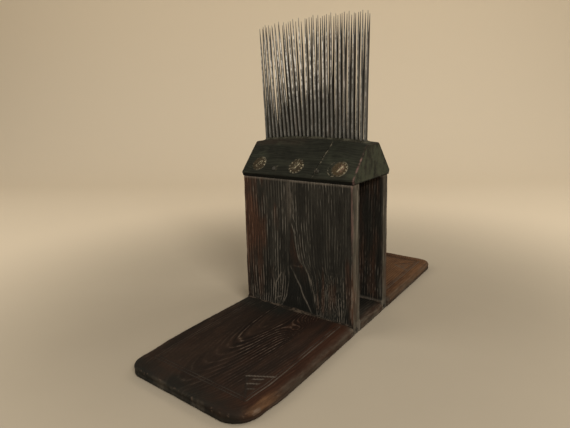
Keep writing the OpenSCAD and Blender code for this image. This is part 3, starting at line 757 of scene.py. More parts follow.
def build_upright(sizes, low, high, inner_at_front, figures):
    """Upright: a closed sheet over (x, z). Its faces carry the rings' ridges and round off to the
    worn standing edges; below the board's top only its tongues and tenons go on."""
    half_foot = high[0]
    half_head = half_foot - 3.5
    z_foot, z_head = BOARD_TOP, HEAD_LOW[2]
    inner = with_lines(spaced((-93.5, 93.5, 0.64)), [s * v for s in (-1, 1) for v in (NOTCH_X + 0.1, 27.0, 63.0)], 0.25)
    nominal = np.concatenate([-half_foot + EDGE_LINES[:-1], inner, (half_foot - EDGE_LINES[:-1])[::-1]])
    z = spaced((0.9, z_foot, 3.8), (z_foot, z_head - 2.05, 1.85), (z_head - 2.05, z_head - 0.05, 0.5))
    half = np.interp(z, (0, z_foot, z_head), (half_foot, half_foot, half_head))
    half = half - 0.35 + 0.3 * noise(z / 40, z * 0, 7) * ramp(z, z_foot, z_foot + 8)
    bulge = 0.9 * ramp(z, z_foot + 0.5, z_foot + 12)
    x = nominal[:, None] * ((half + np.where(nominal[:, None] < 0, bulge, 0)) / half_foot)
    zz = np.broadcast_to(z[None], x.shape)
    edge = np.where(x < 0, half + bulge, half) - np.abs(x)
    above = ramp(zz, z_foot - 1, z_foot + 4)

    faces = []
    for face, figure in enumerate(figures):
        ridge, inside = upright_figure(x, zz, *figure)
        amount = 0.6 + 0.4 * ramp(rough(x / 26, zz / 70, 71 + face), -0.5, 0.4)
        edge_r = UPRIGHT_EDGE_R + 1.1 * rough(x / 9, zz / 14, 81 + face)
        checks = np.clip(1 - np.abs(rough(x / 2.6, zz / 75, 91 + face) - 0.42) / 0.05, 0, 1)
        sink = (0.15 + sizes.grain_depth / MM * amount * (1 - ridge) + arris_drop(np.maximum(edge, 0), edge_r) * above
                + arris_drop(z_head - zz, 1.3) + 0.55 * checks * ramp(edge, 3, 9)
                + 0.25 * (0.5 + rough(x / 40, zz / 55, 101 + face)))
        shown = ridge * (0.65 + 0.35 * ramp(rough(x / 18, zz / 55, 75 + face), -0.4, 0.3))
        faces.append((np.maximum(sink, 0.02) * above + 0.05, shown, checks, inside))
    front = np.stack([x, low[1] + faces[0][0], zz], -1)
    back = np.stack([x, high[1] - faces[1][0], zz], -1)

    mid_x = np.abs((nominal[:-1] + nominal[1:]) / 2)[:, None]
    mid_z = ((z[:-1] + z[1:]) / 2)[None]
    foot = (mid_x > NOTCH_X + 0.1) | ((mid_x > 27.0) & (mid_x < 63.0))
    keep = (mid_z > z_foot) | foot
    verts, quads, used, shape = thick_sheet(front, back, keep, 12)

    share = (verts[:, 1] - low[1]) / (high[1] - low[1])
    outer = np.interp(verts[:, 2], z, half) + np.where(verts[:, 0] < 0, np.interp(verts[:, 2], z, bulge), 0)
    on_side = (np.abs(verts[:, 0]) > outer - 0.02) & (share > 0.03) & (share < 0.97)
    groove = rings_to_ridges(verts[:, 1] / 4.4 + 0.7 * noise(verts[:, 1] / 9, verts[:, 2] / 50, 111), 1.4)
    groove = groove * (0.5 + 0.5 * ramp(noise(verts[:, 1] / 4.4, verts[:, 2] / 22, 112), -0.5, 0.4))
    verts[:, 0] -= np.sign(verts[:, 0]) * on_side * 0.45 * (1 - groove)

    ridge_f, ridge_b = faces[0][1] * (1 - faces[0][2]), faces[1][1] * (1 - faces[1][2])
    right = ramp(x, 0, 60)
    # Painted highlight: a light line along the top of each face just under the head, where the upright's narrow top
    # catches light; it goes into the wear and dust fields.
    ledge_highlight = ramp(zz, z_head - 3.2, z_head - 1.4) * (0.75 + 0.4 * noise(x / 14, zz * 0, 146))
    worn_f = ramp(-edge, -4.2, -0.6) * (0.12 + 0.62 * right * ramp(zz, 30, 190)) * above
    wear_and_highlight_f = np.clip(worn_f + 0.2 * ledge_highlight, 0, 1)
    wear_and_highlight_b = np.clip(ramp(-edge, -4.2, -0.6) * 0.35 * above + 0.2 * ledge_highlight, 0, 1)
    inside = faces[0][3]
    purple = np.exp(-((x - 56) / 27) ** 2 - ((zz - 62) / 42) ** 2) * (0.55 + 0.9 * noise(x / 5, zz / 50, 133))
    left = 1.0 * ramp(-x, 40, 98) * (0.5 + 0.5 * np.exp(-((zz - 135) / 65) ** 2)) + 0.16 * ramp(-x, 10, 60)
    tint_f = np.clip(left + 0.7 * ramp(x, 80, 96) * ramp(-zz, -150, -100) + 0.5 * inside * ramp(zz, 50, 110) + 0.75 * purple
                     + 0.4 * rough(x / 12, zz / 34, 131) + 0.2 * noise(x / 6, zz / 60, 132), 0, 1)
    tint_b = np.clip(0.42 + 0.45 * rough(x / 12, zz / 80, 141), 0, 1)
    dust_and_highlight_f = 0.6 * np.exp(-((x + 8) / 7) ** 2) * ramp(zz, 150, 175) * (0.6 + 0.6 * noise(x / 3, zz / 8, 145))
    dark_f = np.maximum(0.7 * inside * ramp(-zz, -62, -46), 0.95 * (1 - faces[0][1]) ** 1.5 * ramp(-zz, -125, -55) * ramp(edge, 1, 5))
    ridge = np.where(on_side, groove, field_on(used, shape, ridge_f, ridge_b))
    none = np.zeros(x.shape)
    # Painted highlight: pale ridge tops on the lower part of the front face, drawn in the dust colour.
    low_ridge_highlight = 2.3 * ramp(faces[0][1], 0.35, 0.7) * ramp(-zz, -120, -40) * (0.6 + 0.5 * noise(x / 9, zz / 20, 148))
    dust_and_highlight_f = np.maximum.reduce([dust_and_highlight_f, ledge_highlight, low_ridge_highlight])
    dust_and_highlight_b = np.maximum(ledge_highlight, 0.9 * ramp(-zz, -21, -17.5))
    if not inner_at_front:
        tint_f, tint_b, wear_and_highlight_f, wear_and_highlight_b, dust_and_highlight_f, dust_and_highlight_b = tint_b, tint_f, wear_and_highlight_b, wear_and_highlight_f, dust_and_highlight_b, ledge_highlight
        dark_f = 0.6 * (1 - faces[0][1]) ** 2
    arris = on_side * ramp(-share, -0.42, -0.08) * ramp(verts[:, 2], 85, 165) * (verts[:, 0] > 0) * inner_at_front
    arris = arris * (0.45 + 0.5 * noise(verts[:, 1] / 3, verts[:, 2] / 14, 147))
    # Darker towards the foot, where the upright meets the board.
    foot_darkening = 0.8 * ramp(-verts[:, 2], -z_foot - 14, -z_foot + 2) * (share < 0.98)
    fields = {
        "ridge": np.clip(ridge, 0, 1),
        "wear": np.clip(field_on(used, shape, wear_and_highlight_f, wear_and_highlight_b) * np.where(on_side, 0.25, 1) + arris, 0, 1),
        "tint": field_on(used, shape, tint_f, tint_b),
        "side": np.where(on_side, 1.0, 0.0),
        "dust": field_on(used, shape, np.clip(dust_and_highlight_f, 0, 1), np.clip(dust_and_highlight_b, 0, 1)),
        "green": np.clip(foot_darkening + field_on(used, shape, dark_f, none), 0, 1),
    }
    return verts, quads, fields


UPRIGHT_LINES = (((-70.0, 90.0), (-72.0, 16.0)), ((-66.0, 90.0), (-62.0, 16.0)))


def arched(seed, middle):
    """Figure of a face that the photograph doesn't show: three pointed arches round a middle line."""
    pairs = [arch(middle + 0.6 * k, 11.0 + 10.0 * k, 70.0 + 48.0 * k) for k in range(3)]
    legs = [(0.9 - 0.1 * k, 1.6, leg) for k, pair in enumerate(pairs) for leg in pair]
    return seed, legs, pairs[-1]


# Head


ROSETTES = ((-72.0, 18.0, 0.35, 1.0), (-1.2, 17.6, 0.0, 0.0), (71.5, 17.8, 0.8, -1.0))
CRACK = ((42.0, 62.0, 37.0, 34.0), (37.0, 34.0, 33.6, 9.7), (33.6, 9.7, 32.0, 0.5))
LIP_FALL = 2.6


def rosette(x, s, turn, extra, radius):
    """One chip-carved rosette round (0, 0): a row of round chips on its outer circle, six lens-shaped
    petals with a small chip between each two, and a long slanted slot. Where extra isn't
    0 the left half is worn away and the outer circle shows on the right; 1 gives the slot pale
    borders, and -1 fills it and adds an arc on the left, where the compass was set twice. Returns the cuts' depth, the residue and the ground."""
    rho = np.hypot(x, s)
    angle = np.arctan2(s, x) + turn
    beads = 13
    around = (np.mod(angle * beads / (2 * math.pi), 1) - 0.5) * 2 * math.pi / beads * rho
    bead = 1 - np.hypot((rho - radius * (0.86 + 0.02 * np.sin(3 * angle))) / 1.45, around / 1.6)
    slice_ = np.mod(angle, math.pi / 3) - math.pi / 6
    petal_w = 1.9 * np.sin(np.clip((rho - 0.8) / (radius * 0.66), 0, 1) * math.pi) + 0.02
    petal = np.clip(1 - np.abs(slice_) * rho / petal_w, 0, 1) * (rho < radius * 0.7)
    between = np.mod(angle + math.pi / 6, math.pi / 3) - math.pi / 6
    small = 1 - np.hypot((rho - radius * 0.52) / 1.2, between * rho / 0.95)
    slot = 1 - stroke(x, s, -2.6, -3.6, 2.8, 4.2) / (1.25 + 0.75 * abs(extra))
    ring = (1 - np.abs(rho - radius * 1.0) / 0.6) * 0.4
    cuts = np.clip(np.maximum.reduce([bead, petal, small * 0.8, slot, ring]), 0, 1)
    worn = np.clip(0.5 + 1.1 * noise(x / 3.0 + 40 * turn, s / 3.0, 157), 0.05, 1.2)
    worn = worn * (1 - 0.8 * abs(extra) * ramp(-x, -5, 1))
    filled = slot * 2.6 * ramp(x - 0.6 * s, -1.6, 0.2)
    if extra > 0:
        filled = 1.1 - np.abs(slot - 0.12) / 0.22
    kept = np.maximum.reduce([bead * 1.9 * worn, petal * 0.5 * worn * (1 - 0.5 * abs(extra)), small * 0.9 * worn,
                              filled, ring * 1.2 * worn])
    pale = np.clip(kept, 0, 1)
    dots = ramp(noise(x / 1.7, s / 1.7, 158), -0.3, 0.5)
    hem = np.clip(1 - np.abs(rho - radius * 0.98) / 0.9, 0, 1) * ramp(x, 0, 5) * abs(extra)
    wide = np.hypot(x - extra * radius * 0.42, s + 0.6)
    arc = np.clip(1 - np.abs(wide - radius * 0.98) / 0.9, 0, 1) * ramp(-x - 0.5 * s, 5, 10) * (extra < 0)
    cuts = np.maximum.reduce([cuts, 0.5 * hem, 0.5 * arc])
    pale = np.maximum.reduce([pale, 0.75 * hem * (0.35 + 0.65 * dots), 0.6 * arc * dots])
    ground = ramp(-rho, -radius * 1.05, -radius * 0.75) * (0.6 + 0.4 * (extra < 0))
    rubbed = (extra < 0) * np.clip(1.3 - np.hypot((x - 2.2) / 4.6, (s - 0.8) / 6.0), 0, 1) * (1 - cuts)
    return cuts, pale, ground, rubbed


def head_profile(x):
    """Section of the head at each x, from the front lip's foot round over the top to the rear:
    six corners joined by straight lines and rounded by parabolic arcs of a given cut-back. Below
    each slope the lip falls back under it. Returns points (ring, station, 2) and their zones."""
    front, rear = HEAD_LOW[1], HEAD_HIGH[1]
    under = HEAD_LOW[2]
    lip = under + 7.0
    end_top = HEAD_HIGH[2] - 5.5
    top = head_top_z(x) - 0.1
    run = (rear - front - 40.0) / 2
    slant = run / (end_top - lip)
    inset = slant * (top - lip)
    one = np.ones_like(x)
    corners = np.array([[(front + LIP_FALL) * one, under * one], [front * one, (lip - 0.8) * one], [front + inset, top],
                        [rear - inset, top], [rear * one, (lip - 0.8) * one], [(rear - LIP_FALL) * one, under * one]])
    corners = corners.transpose(0, 2, 1)
    cut_back = (0.8, 1.1, 3.2, 2.6, 1.1, 0.8)
    slope = np.concatenate([np.linspace(0, 0.05, 4)[:-1], np.linspace(0.05, 0.58, 62)[:-1], np.linspace(0.58, 1, 19)[:-1]])
    steps = (np.linspace(0, 1, 7)[:-1], slope, np.linspace(0, 1, 27)[:-1],
             np.linspace(0, 1, 35)[:-1], np.linspace(0, 1, 7)[:-1], np.linspace(0, 1, 31)[:-1])
    pieces, zones, starts, ends = [], [], [], []
    for k, corner in enumerate(corners):
        for other, found in ((corners[k - 1], starts), (corners[(k + 1) % 6], ends)):
            way = other - corner
            found.append(corner + way / np.linalg.norm(way, axis=1, keepdims=True) * cut_back[k])
    for k, corner in enumerate(corners):
        for u in np.linspace(0, 1, 5)[:-1]:
            pieces.append((1 - u) ** 2 * starts[k] + 2 * u * (1 - u) * corner + u * u * ends[k])
            zones.append(10 + k)
        for u in steps[k]:
            pieces.append(ends[k] * (1 - u) + starts[(k + 1) % 6] * u)
            zones.append(k)
    return np.array(pieces), np.array(zones)


def build_head(sizes):
    """Head: rings of the section along x, drawn in at both ends and closed there by shrinking
    rings. The front slope carries the rosettes, and every face the faint long grain."""
    half = HEAD_HIGH[0] - 0.05
    dense = [(c - 14.0, c + 14.0, 0.5) for c, *_ in ROSETTES]
    stations = spaced((-half, -half + 2, 0.5), (-half + 2, dense[0][0], 1.4), dense[0],
                      (dense[0][1], dense[1][0], 1.4), dense[1], (dense[1][1], dense[2][0], 0.85), dense[2],
                      (dense[2][1], half - 2, 1.4), (half - 2, half, 0.5))
    points, zones = head_profile(stations)
    rings = points.transpose(1, 0, 2)
    centre = np.array([(HEAD_LOW[1] + HEAD_HIGH[1]) / 2, HEAD_LOW[2] + 24.0])
    xx = np.broadcast_to(stations[:, None], rings.shape[:2])

    out = np.roll(rings, -1, 1) - np.roll(rings, 1, 1)
    normal = np.stack([-out[..., 1], out[..., 0]], -1)
    normal = normal / np.linalg.norm(normal, axis=-1, keepdims=True)
    outward = np.sign(np.sum(normal * (rings - centre), -1, keepdims=True))
    normal = normal * outward

    lip = np.array([HEAD_LOW[1], HEAD_LOW[2] + 7.0])
    up = np.hypot(rings[..., 0] - lip[0], rings[..., 1] - lip[1])
    on_front = ((zones == 1) | (zones == 12))[None] & (rings[..., 0] < centre[0])
    carved = np.zeros((4, *up.shape))
    for cx, cs, turn, extra in ROSETTES:
        carved = np.maximum(carved, rosette(xx - cx, up - cs, turn, extra, sizes.rosette_d / MM / 2))
    cut, residue, ground, rubbed = carved * on_front
    bent = xx + 0.9 * noise(up / 6, up * 0, 13) + 0.5 * noise(up / 2.2, up * 0, 16)
    split = np.minimum.reduce([stroke(bent, up, *part) for part in CRACK])
    beside = np.minimum.reduce([stroke(bent - 1.0, up, *part) for part in CRACK])
    # The split along the front slope, cut into the wood; the painted shade under the lip joins this field below.
    crack = np.clip(1.2 - split / 0.5, 0, 1) * on_front
    patchy = np.clip(0.45 + 1.1 * noise(up / 2.3, up * 0, 14), 0.05, 1)
    crack_lip = np.clip(1.3 - beside / 1.1, 0, 1) * on_front * patchy
    specks = np.maximum(np.exp(-((xx - 35.4) / 1.5) ** 2 - ((up - 12.5) / 2.0) ** 2),
                        np.exp(-((xx + 35.0) / 1.2) ** 2 - ((up - 12.0) / 3.2) ** 2)) * on_front

    around = np.cumsum(np.linalg.norm(np.diff(rings[:1], axis=1, append=rings[:1, :1]), axis=-1), axis=1)
    around = np.broadcast_to(around, up.shape)
    ring = around / 4.1 + 0.9 * noise(xx / 55, around / 17, 151) + 0.6 * noise(xx / 20, around / 6, 152)
    ridge = rings_to_ridges(ring, 1.5)
    dents = np.clip(rough(xx / 5, around / 4, 153) - 0.42, 0, 1)
    sink = 0.12 * (1 - ridge) + 0.5 * dents + 0.18 * (0.6 + rough(xx / 30, around / 24, 154))
    sink = sink + sizes.carving_depth / MM * cut + 0.9 * crack
    corner_zone = (zones >= 10)[None]
    chips = np.clip(rough(xx / 7, around / 9, 155) - 0.15, 0, 1) * corner_zone
    sink = np.maximum(sink + 0.9 * chips, 0.02)
    shaped = rings - normal * sink[..., None]

    end_gap = half - np.abs(stations)
    draw = arris_drop(end_gap, 2.0)[:, None, None] / 46.0
    shaped = shaped + (centre - shaped) * draw
    body = np.concatenate([xx[..., None], shaped], -1)

    caps = []
    for last, way in ((0, -1), (-1, 1)):
        shares = np.linspace(1, 0, 19)[1:]
        flat = centre + (shaped[last][None] - centre) * shares[:, None, None]
        saw = 0.35 * (0.5 + rough(flat[..., 0] / 3, flat[..., 1] / 3, 161))
        cap = np.concatenate([(way * half - way * saw * (shares[:, None] > 0))[..., None], flat], -1)
        caps.append(cap)
    all_rings = np.concatenate([caps[0][::-1], body, caps[1]])

    pad = ((len(caps[0]), len(caps[1])), (0, 0))
    right = ramp(xx, 60, 97)
    near_end = ramp(-end_gap, -4, -0.4)[:, None]
    front_side = ((zones < 3) | ((zones > 9) & (zones < 13)))[None]
    wear = 0.16 * np.isin(zones, (12, 13))[None] * (0.3 + 0.7 * right)
    uneven_wear = np.clip(0.7 + 0.6 * noise(up / 5, up * 0, 178), 0, 1)
    wear = wear + near_end * (0.1 + 0.8 * right * front_side * ramp(-up, -62, -34) * uneven_wear)
    wear = np.clip(wear + 0.1 * (ridge - 0.6), 0, 1)
    residue = np.maximum(residue, np.clip(0.42 * crack_lip + 0.6 * specks * (0.5 + noise(xx / 1.2, up / 1.2, 15)), 0, 1))
    olive = np.clip(0.14 + 0.55 * rough(xx / 24, around / 16, 172) + 0.2 * ramp(xx, 20, 90), 0, 1)
    tint = np.clip(0.1 + 0.3 * rough(xx / 45, around / 30, 171) + 0.5 * near_end
                   + 0.45 * ramp(up, 44, 60) * ramp(-xx, -30, 30) * (zones < 13)[None], 0, 1)
    # Painted shade on the undercut faces under both slopes and on the underside: drawn near-black and without grain
    # ridges.
    lip_shade = np.isin(zones, (0, 10, 5, 15, 4))[None] * 1.0
    fields = {
        "ridge": np.pad(np.clip(ridge * 0.25 + 0.4 + 0.12 * rough(xx / 8, around / 5, 177) - crack, 0, 1) * (1 - lip_shade), pad, constant_values=0.45),
        "wear": np.pad(wear * (1 - cut) * (1 - crack), pad, constant_values=0.0),
        "tint": np.pad(tint, pad, constant_values=0.15),
        "rub": np.concatenate([0.8 + 0.9 * rough(caps[0][..., 1] / 6, caps[0][..., 2] / 9, 173), olive,
                               0.8 + 0.9 * rough(caps[1][..., 1] / 6, caps[1][..., 2] / 9, 174)]),
        "green": np.concatenate([0.5 * ramp(rough(cap[..., 1] / 12, cap[..., 2] / 12, 175), 0, 0.5) if cap is not None
                                 else 0.15 * ramp(rough(xx / 12, around / 12, 176), 0, 0.5)
                                 for cap in (caps[0], None, caps[1])]),
        "residue": np.pad(residue, pad),
        "ground": np.pad(ground, pad),
        "patch": np.pad(rubbed, pad),
        "crack": np.pad(np.maximum(crack, 0.3 * lip_shade), pad),
        "side": np.pad(0 * xx, pad, constant_values=0.12),
    }
    return all_rings.reshape(-1, 3), loops_mesh(all_rings), {k: v.reshape(-1) for k, v in fields.items()}


# Tines


TINE_PITCH = 7.07
MIDDLE_SHIFT = 3.5
REAR_SHIFT = 3.5
UNEVEN_X = 0.15
ROW_GAP = 10.0
TINE_L = 172.0
TINE_POINT_L = 30.0
TINE_POINT_D = 2.4
TINE_TIP_D = 0.7
TINE_HEAD_D = 5.2
TINE_HEAD_T = 1.8


def uneven(row, i, purpose):
    """The same uneven amounts between -1 and 1 as the frame's tines have."""
    return np.sin(np.radians(97 * i + 141 * row + 53 * purpose))


ROW_HALF = TINE_PITCH * (TINES_PER_ROW - 1) / 2


def tine_x(row):
    """x of a row's tines: an even spacing, and a shift to the right that is greatest in the middle
    and goes down to nothing at both ends as a parabola. The rear row stands to the left of the front
    one, and each tine a little off its place."""
    even = np.linspace(-ROW_HALF, ROW_HALF, TINES_PER_ROW)
    off = UNEVEN_X * uneven(row, np.arange(1, TINES_PER_ROW + 1), 4)
    return even + MIDDLE_SHIFT * (1 - (even / ROW_HALF) ** 2) - row * REAR_SHIFT + off


def tine_axes(row):
    """Foot, direction, stem and reach of each tine of a row, as arrays."""
    i = np.arange(1, TINES_PER_ROW + 1)
    x = tine_x(row)
    along = x / ROW_HALF
    pushed = np.maximum(0, 1 - ((along + 0.5) / 0.42) ** 2)
    side = np.radians(-0.6 + 1.4 * along + 0.3 * uneven(row, i, 1) - 3.0 * pushed)
    lean = np.radians((1 if row == 0 else -1) * 0.5 + 0.35 * uneven(row, i, 2))
    reach = TINE_L + 1.5 * uneven(row, i, 3)
    middle = (HEAD_LOW[1] + HEAD_HIGH[1]) / 2
    foot = np.stack([x, np.full(x.shape, middle + (-1 if row == 0 else 1) * ROW_GAP / 2), head_top_z(x)], 1)
    axis = np.stack([np.cos(lean) * np.sin(side), -np.sin(lean), np.cos(lean) * np.cos(side)], 1)
    stem = (foot[:, 2] - HEAD_LOW[2]) / axis[:, 2]
    return foot, axis, stem, reach


def build_tine(foot, axis, stem, reach, seed, facing, sizes):
    """One tine: a profile turned round a slightly bowed axis. Its radius swells and shrinks with
    noise and a faint four-sided term that the hammer left, and its point is blunt and round. The
    side at the angle `facing`, away from the other row, is painted bright, partly as worn polish and
    partly as a painted highlight with painted glints. Grease darkens the foot, and painted shade the
    lower tine up to 110 mm, deeper on the rear row."""
    base = sizes.tine_d / MM / 2
    head_low = -stem - 0.35
    t = np.concatenate([[head_low, head_low, head_low + 0.3, -stem + TINE_HEAD_T, -stem + TINE_HEAD_T + 0.2, -3],
                        np.linspace(0, 14, 6), np.linspace(14, reach - TINE_POINT_L, 20)[1:],
                        np.linspace(reach - TINE_POINT_L, reach - 0.5, 12)[1:], [reach - 0.15, reach, reach]])
    head_r = TINE_HEAD_D / 2 - 0.1
    blade = np.interp(t, (0, reach - TINE_POINT_L, reach - 0.5, reach), (base, TINE_POINT_D / 2, TINE_TIP_D / 2, 0.18))
    r = np.where(t < -stem + TINE_HEAD_T + 0.1, head_r, blade)
    r[0], r[1], r[-1] = 0, head_r - 0.35, 0
    angle = np.linspace(0, 2 * math.pi, 17)[:-1]
    tt, aa = np.meshgrid(t, angle, indexing="ij")
    shape = 1 + 0.03 * np.cos(4 * aa + seed + tt / 60) * ramp(tt, 2, 20)
    shape = shape + 0.05 * rough(2 * np.cos(aa) + tt / 11, 2 * np.sin(aa) + seed, 181) * ramp(tt, -1, 12)
    radius = r[:, None] * np.minimum(shape, 1.06)
    side = np.cross([0.0, 1.0, 0.0], axis)
    side = side / np.linalg.norm(side)
    deep = np.cross(axis, side)
    bow = sizes.tine_bend / MM * np.sin(np.clip(tt / reach, 0, 1) * math.pi)
    kink = 0.3 * sizes.tine_bend / MM * np.sin(np.clip(tt / reach, 0, 1) * 3 * math.pi)
    bow_x = bow * math.sin(seed * 2.3) + kink * math.sin(seed * 5.1)
    bow_y = bow * math.cos(seed * 3.1) + kink * math.cos(seed * 4.3)
    points = (foot + tt[..., None] * axis + (radius * np.cos(aa) + bow_x)[..., None] * side
              + (radius * np.sin(aa) + bow_y)[..., None] * deep)
    grime = ramp(-tt, -(7.5 + 4 * noise(aa, tt / 6 + seed, 191)), -1.5)
    # Painted shade up the lower tine, deeper on the rear row, over the grease at the foot.
    grime = np.maximum(grime, (0.95 if facing > 0 else 0.65) * ramp(-tt, -110, -15)
                       * (0.8 + 0.3 * noise(aa, tt / 9 + seed, 192)))
    # Painted highlight on the side away from the other row, strongest above 35 mm and in the row's middle-left; it
    # stands partly for worn polish.
    outer = ramp(np.cos(aa - facing), -0.1, 0.75)
    polish_and_glint_zone = 0.45 + 0.55 * ramp(tt, 35, 110) * np.exp(-((foot[0] + 26) / 52) ** 2)
    shine = outer * polish_and_glint_zone * (0.75 + 0.25 * math.sin(seed * 3.7)) * (1 - 0.6 * ramp(tt, reach - 32, reach - 8))
    return points.reshape(-1, 3), loops_mesh(points), {"grime": grime.reshape(-1), "shine": shine.reshape(-1)}


# Grease and dirt


def build_grease(row):
    """Ridge of old grease along one row: over (x, y) its height is a rounded bank that rises
    round each tine, broken up by noise."""
    middle = (HEAD_LOW[1] + HEAD_HIGH[1]) / 2 + (-1 if row == 0 else 1) * ROW_GAP / 2
    reach = ROW_HALF + 4.6
    x = np.linspace(-reach, reach, 330)
    v = np.linspace(-4.9, 4.9, 19)
    xx, vv = np.meshgrid(x, v, indexing="ij")
    nearest = np.min(np.abs(xx[..., None] - tine_x(row)), axis=-1)
    bank = np.clip(1 - (vv / 4.9) ** 2, 0, 1) ** 0.8
    collar = np.exp(-(nearest ** 2 + vv ** 2) / 6.5)
    lumps = rough(xx / 3.1, vv / 2.6, 201 + row)
    ends = ramp(reach - np.abs(xx), 0, 5)
    height = bank * (1.7 + 2.4 * collar + 1.5 * lumps + 0.7 * noise(xx / 14, vv / 6, 203 + row)) * ends
    height = np.maximum(height, -0.2)
    z = head_top_z(xx)
    upper = np.stack([xx, middle + vv, z + height - 0.12], -1)
    lower = np.stack([xx, middle + vv * 0.98, z - 0.8], -1)
    verts, quads, used, shape = thick_sheet(upper, lower, np.ones((len(x) - 1, len(v) - 1), bool), 1)
    return verts, quads


def build_cove(y0, way, half, seed, spread, rise):
    """Bank of dirt in the corner between an upright's face and the board: between the board and
    the upright it follows the two squares (1 - u) squared outwards and u squared upwards."""
    x = np.linspace(-half, half, 190)
    u = np.linspace(0, 1, 9)
    xx, uu = np.meshgrid(x, u, indexing="ij")
    bulge = np.exp(-((xx + 2) / 45) ** 2)
    wide = 1.2 + spread * bulge + 1.1 * rough(xx / 9, xx * 0, seed)
    tall = 1.5 + rise * bulge + 1.3 * rough(xx / 11, xx * 0, seed + 3)
    wide, tall = np.maximum(wide, 0.5), np.maximum(tall, 0.6)
    lump = 0.35 * rough(xx / 2.6, uu * 3, seed + 5)
    y = y0 - way * (wide * (1 - uu) ** 2 + lump * uu * (1 - uu) * 2)
    z = BOARD_TOP - 0.25 + tall * uu ** 2 + lump * uu * (1 - uu) * 2
    upper = np.stack([xx, y, z], -1)
    lower = np.stack([xx, y0 + way * 0.9 - way * wide * 0.3 * (1 - uu) ** 2, BOARD_TOP - 1.0 + 0.3 * tall * uu ** 2], -1)
    if way < 0:
        upper, lower = upper[::-1], lower[::-1]
    verts, quads, used, shape = thick_sheet(upper, lower, np.ones((len(x) - 1, len(u) - 1), bool), 1)
    return verts, quads


def joined(parts):
    """Several (points, faces) lists as one."""
    verts, quads, start = [], [], 0
    for v, q in parts:
        verts.append(v)
        quads.append(q + start)
        start += len(v)
    return np.concatenate(verts), np.concatenate(quads)


def closed(obj):
    """Merges points that lie on each other, such as at a pole, and turns every face outwards."""
    work = bmesh.new()
    work.from_mesh(obj.data)
    bmesh.ops.remove_doubles(work, verts=work.verts, dist=2e-7)
    bmesh.ops.dissolve_degenerate(work, edges=work.edges, dist=1e-8)
    bmesh.ops.recalc_face_normals(work, faces=work.faces)
    work.to_mesh(obj.data)
    work.free()
    obj.data.update()
    return obj


# Operators


def sizes_of(context):
    return context.scene.comb_sizes


def colours_of(context):
    return context.scene.comb_colours


def dress(obj, material):
    """Gives a piece its one material."""
    obj.data.materials.clear()
    obj.data.materials.append(material)
    return obj


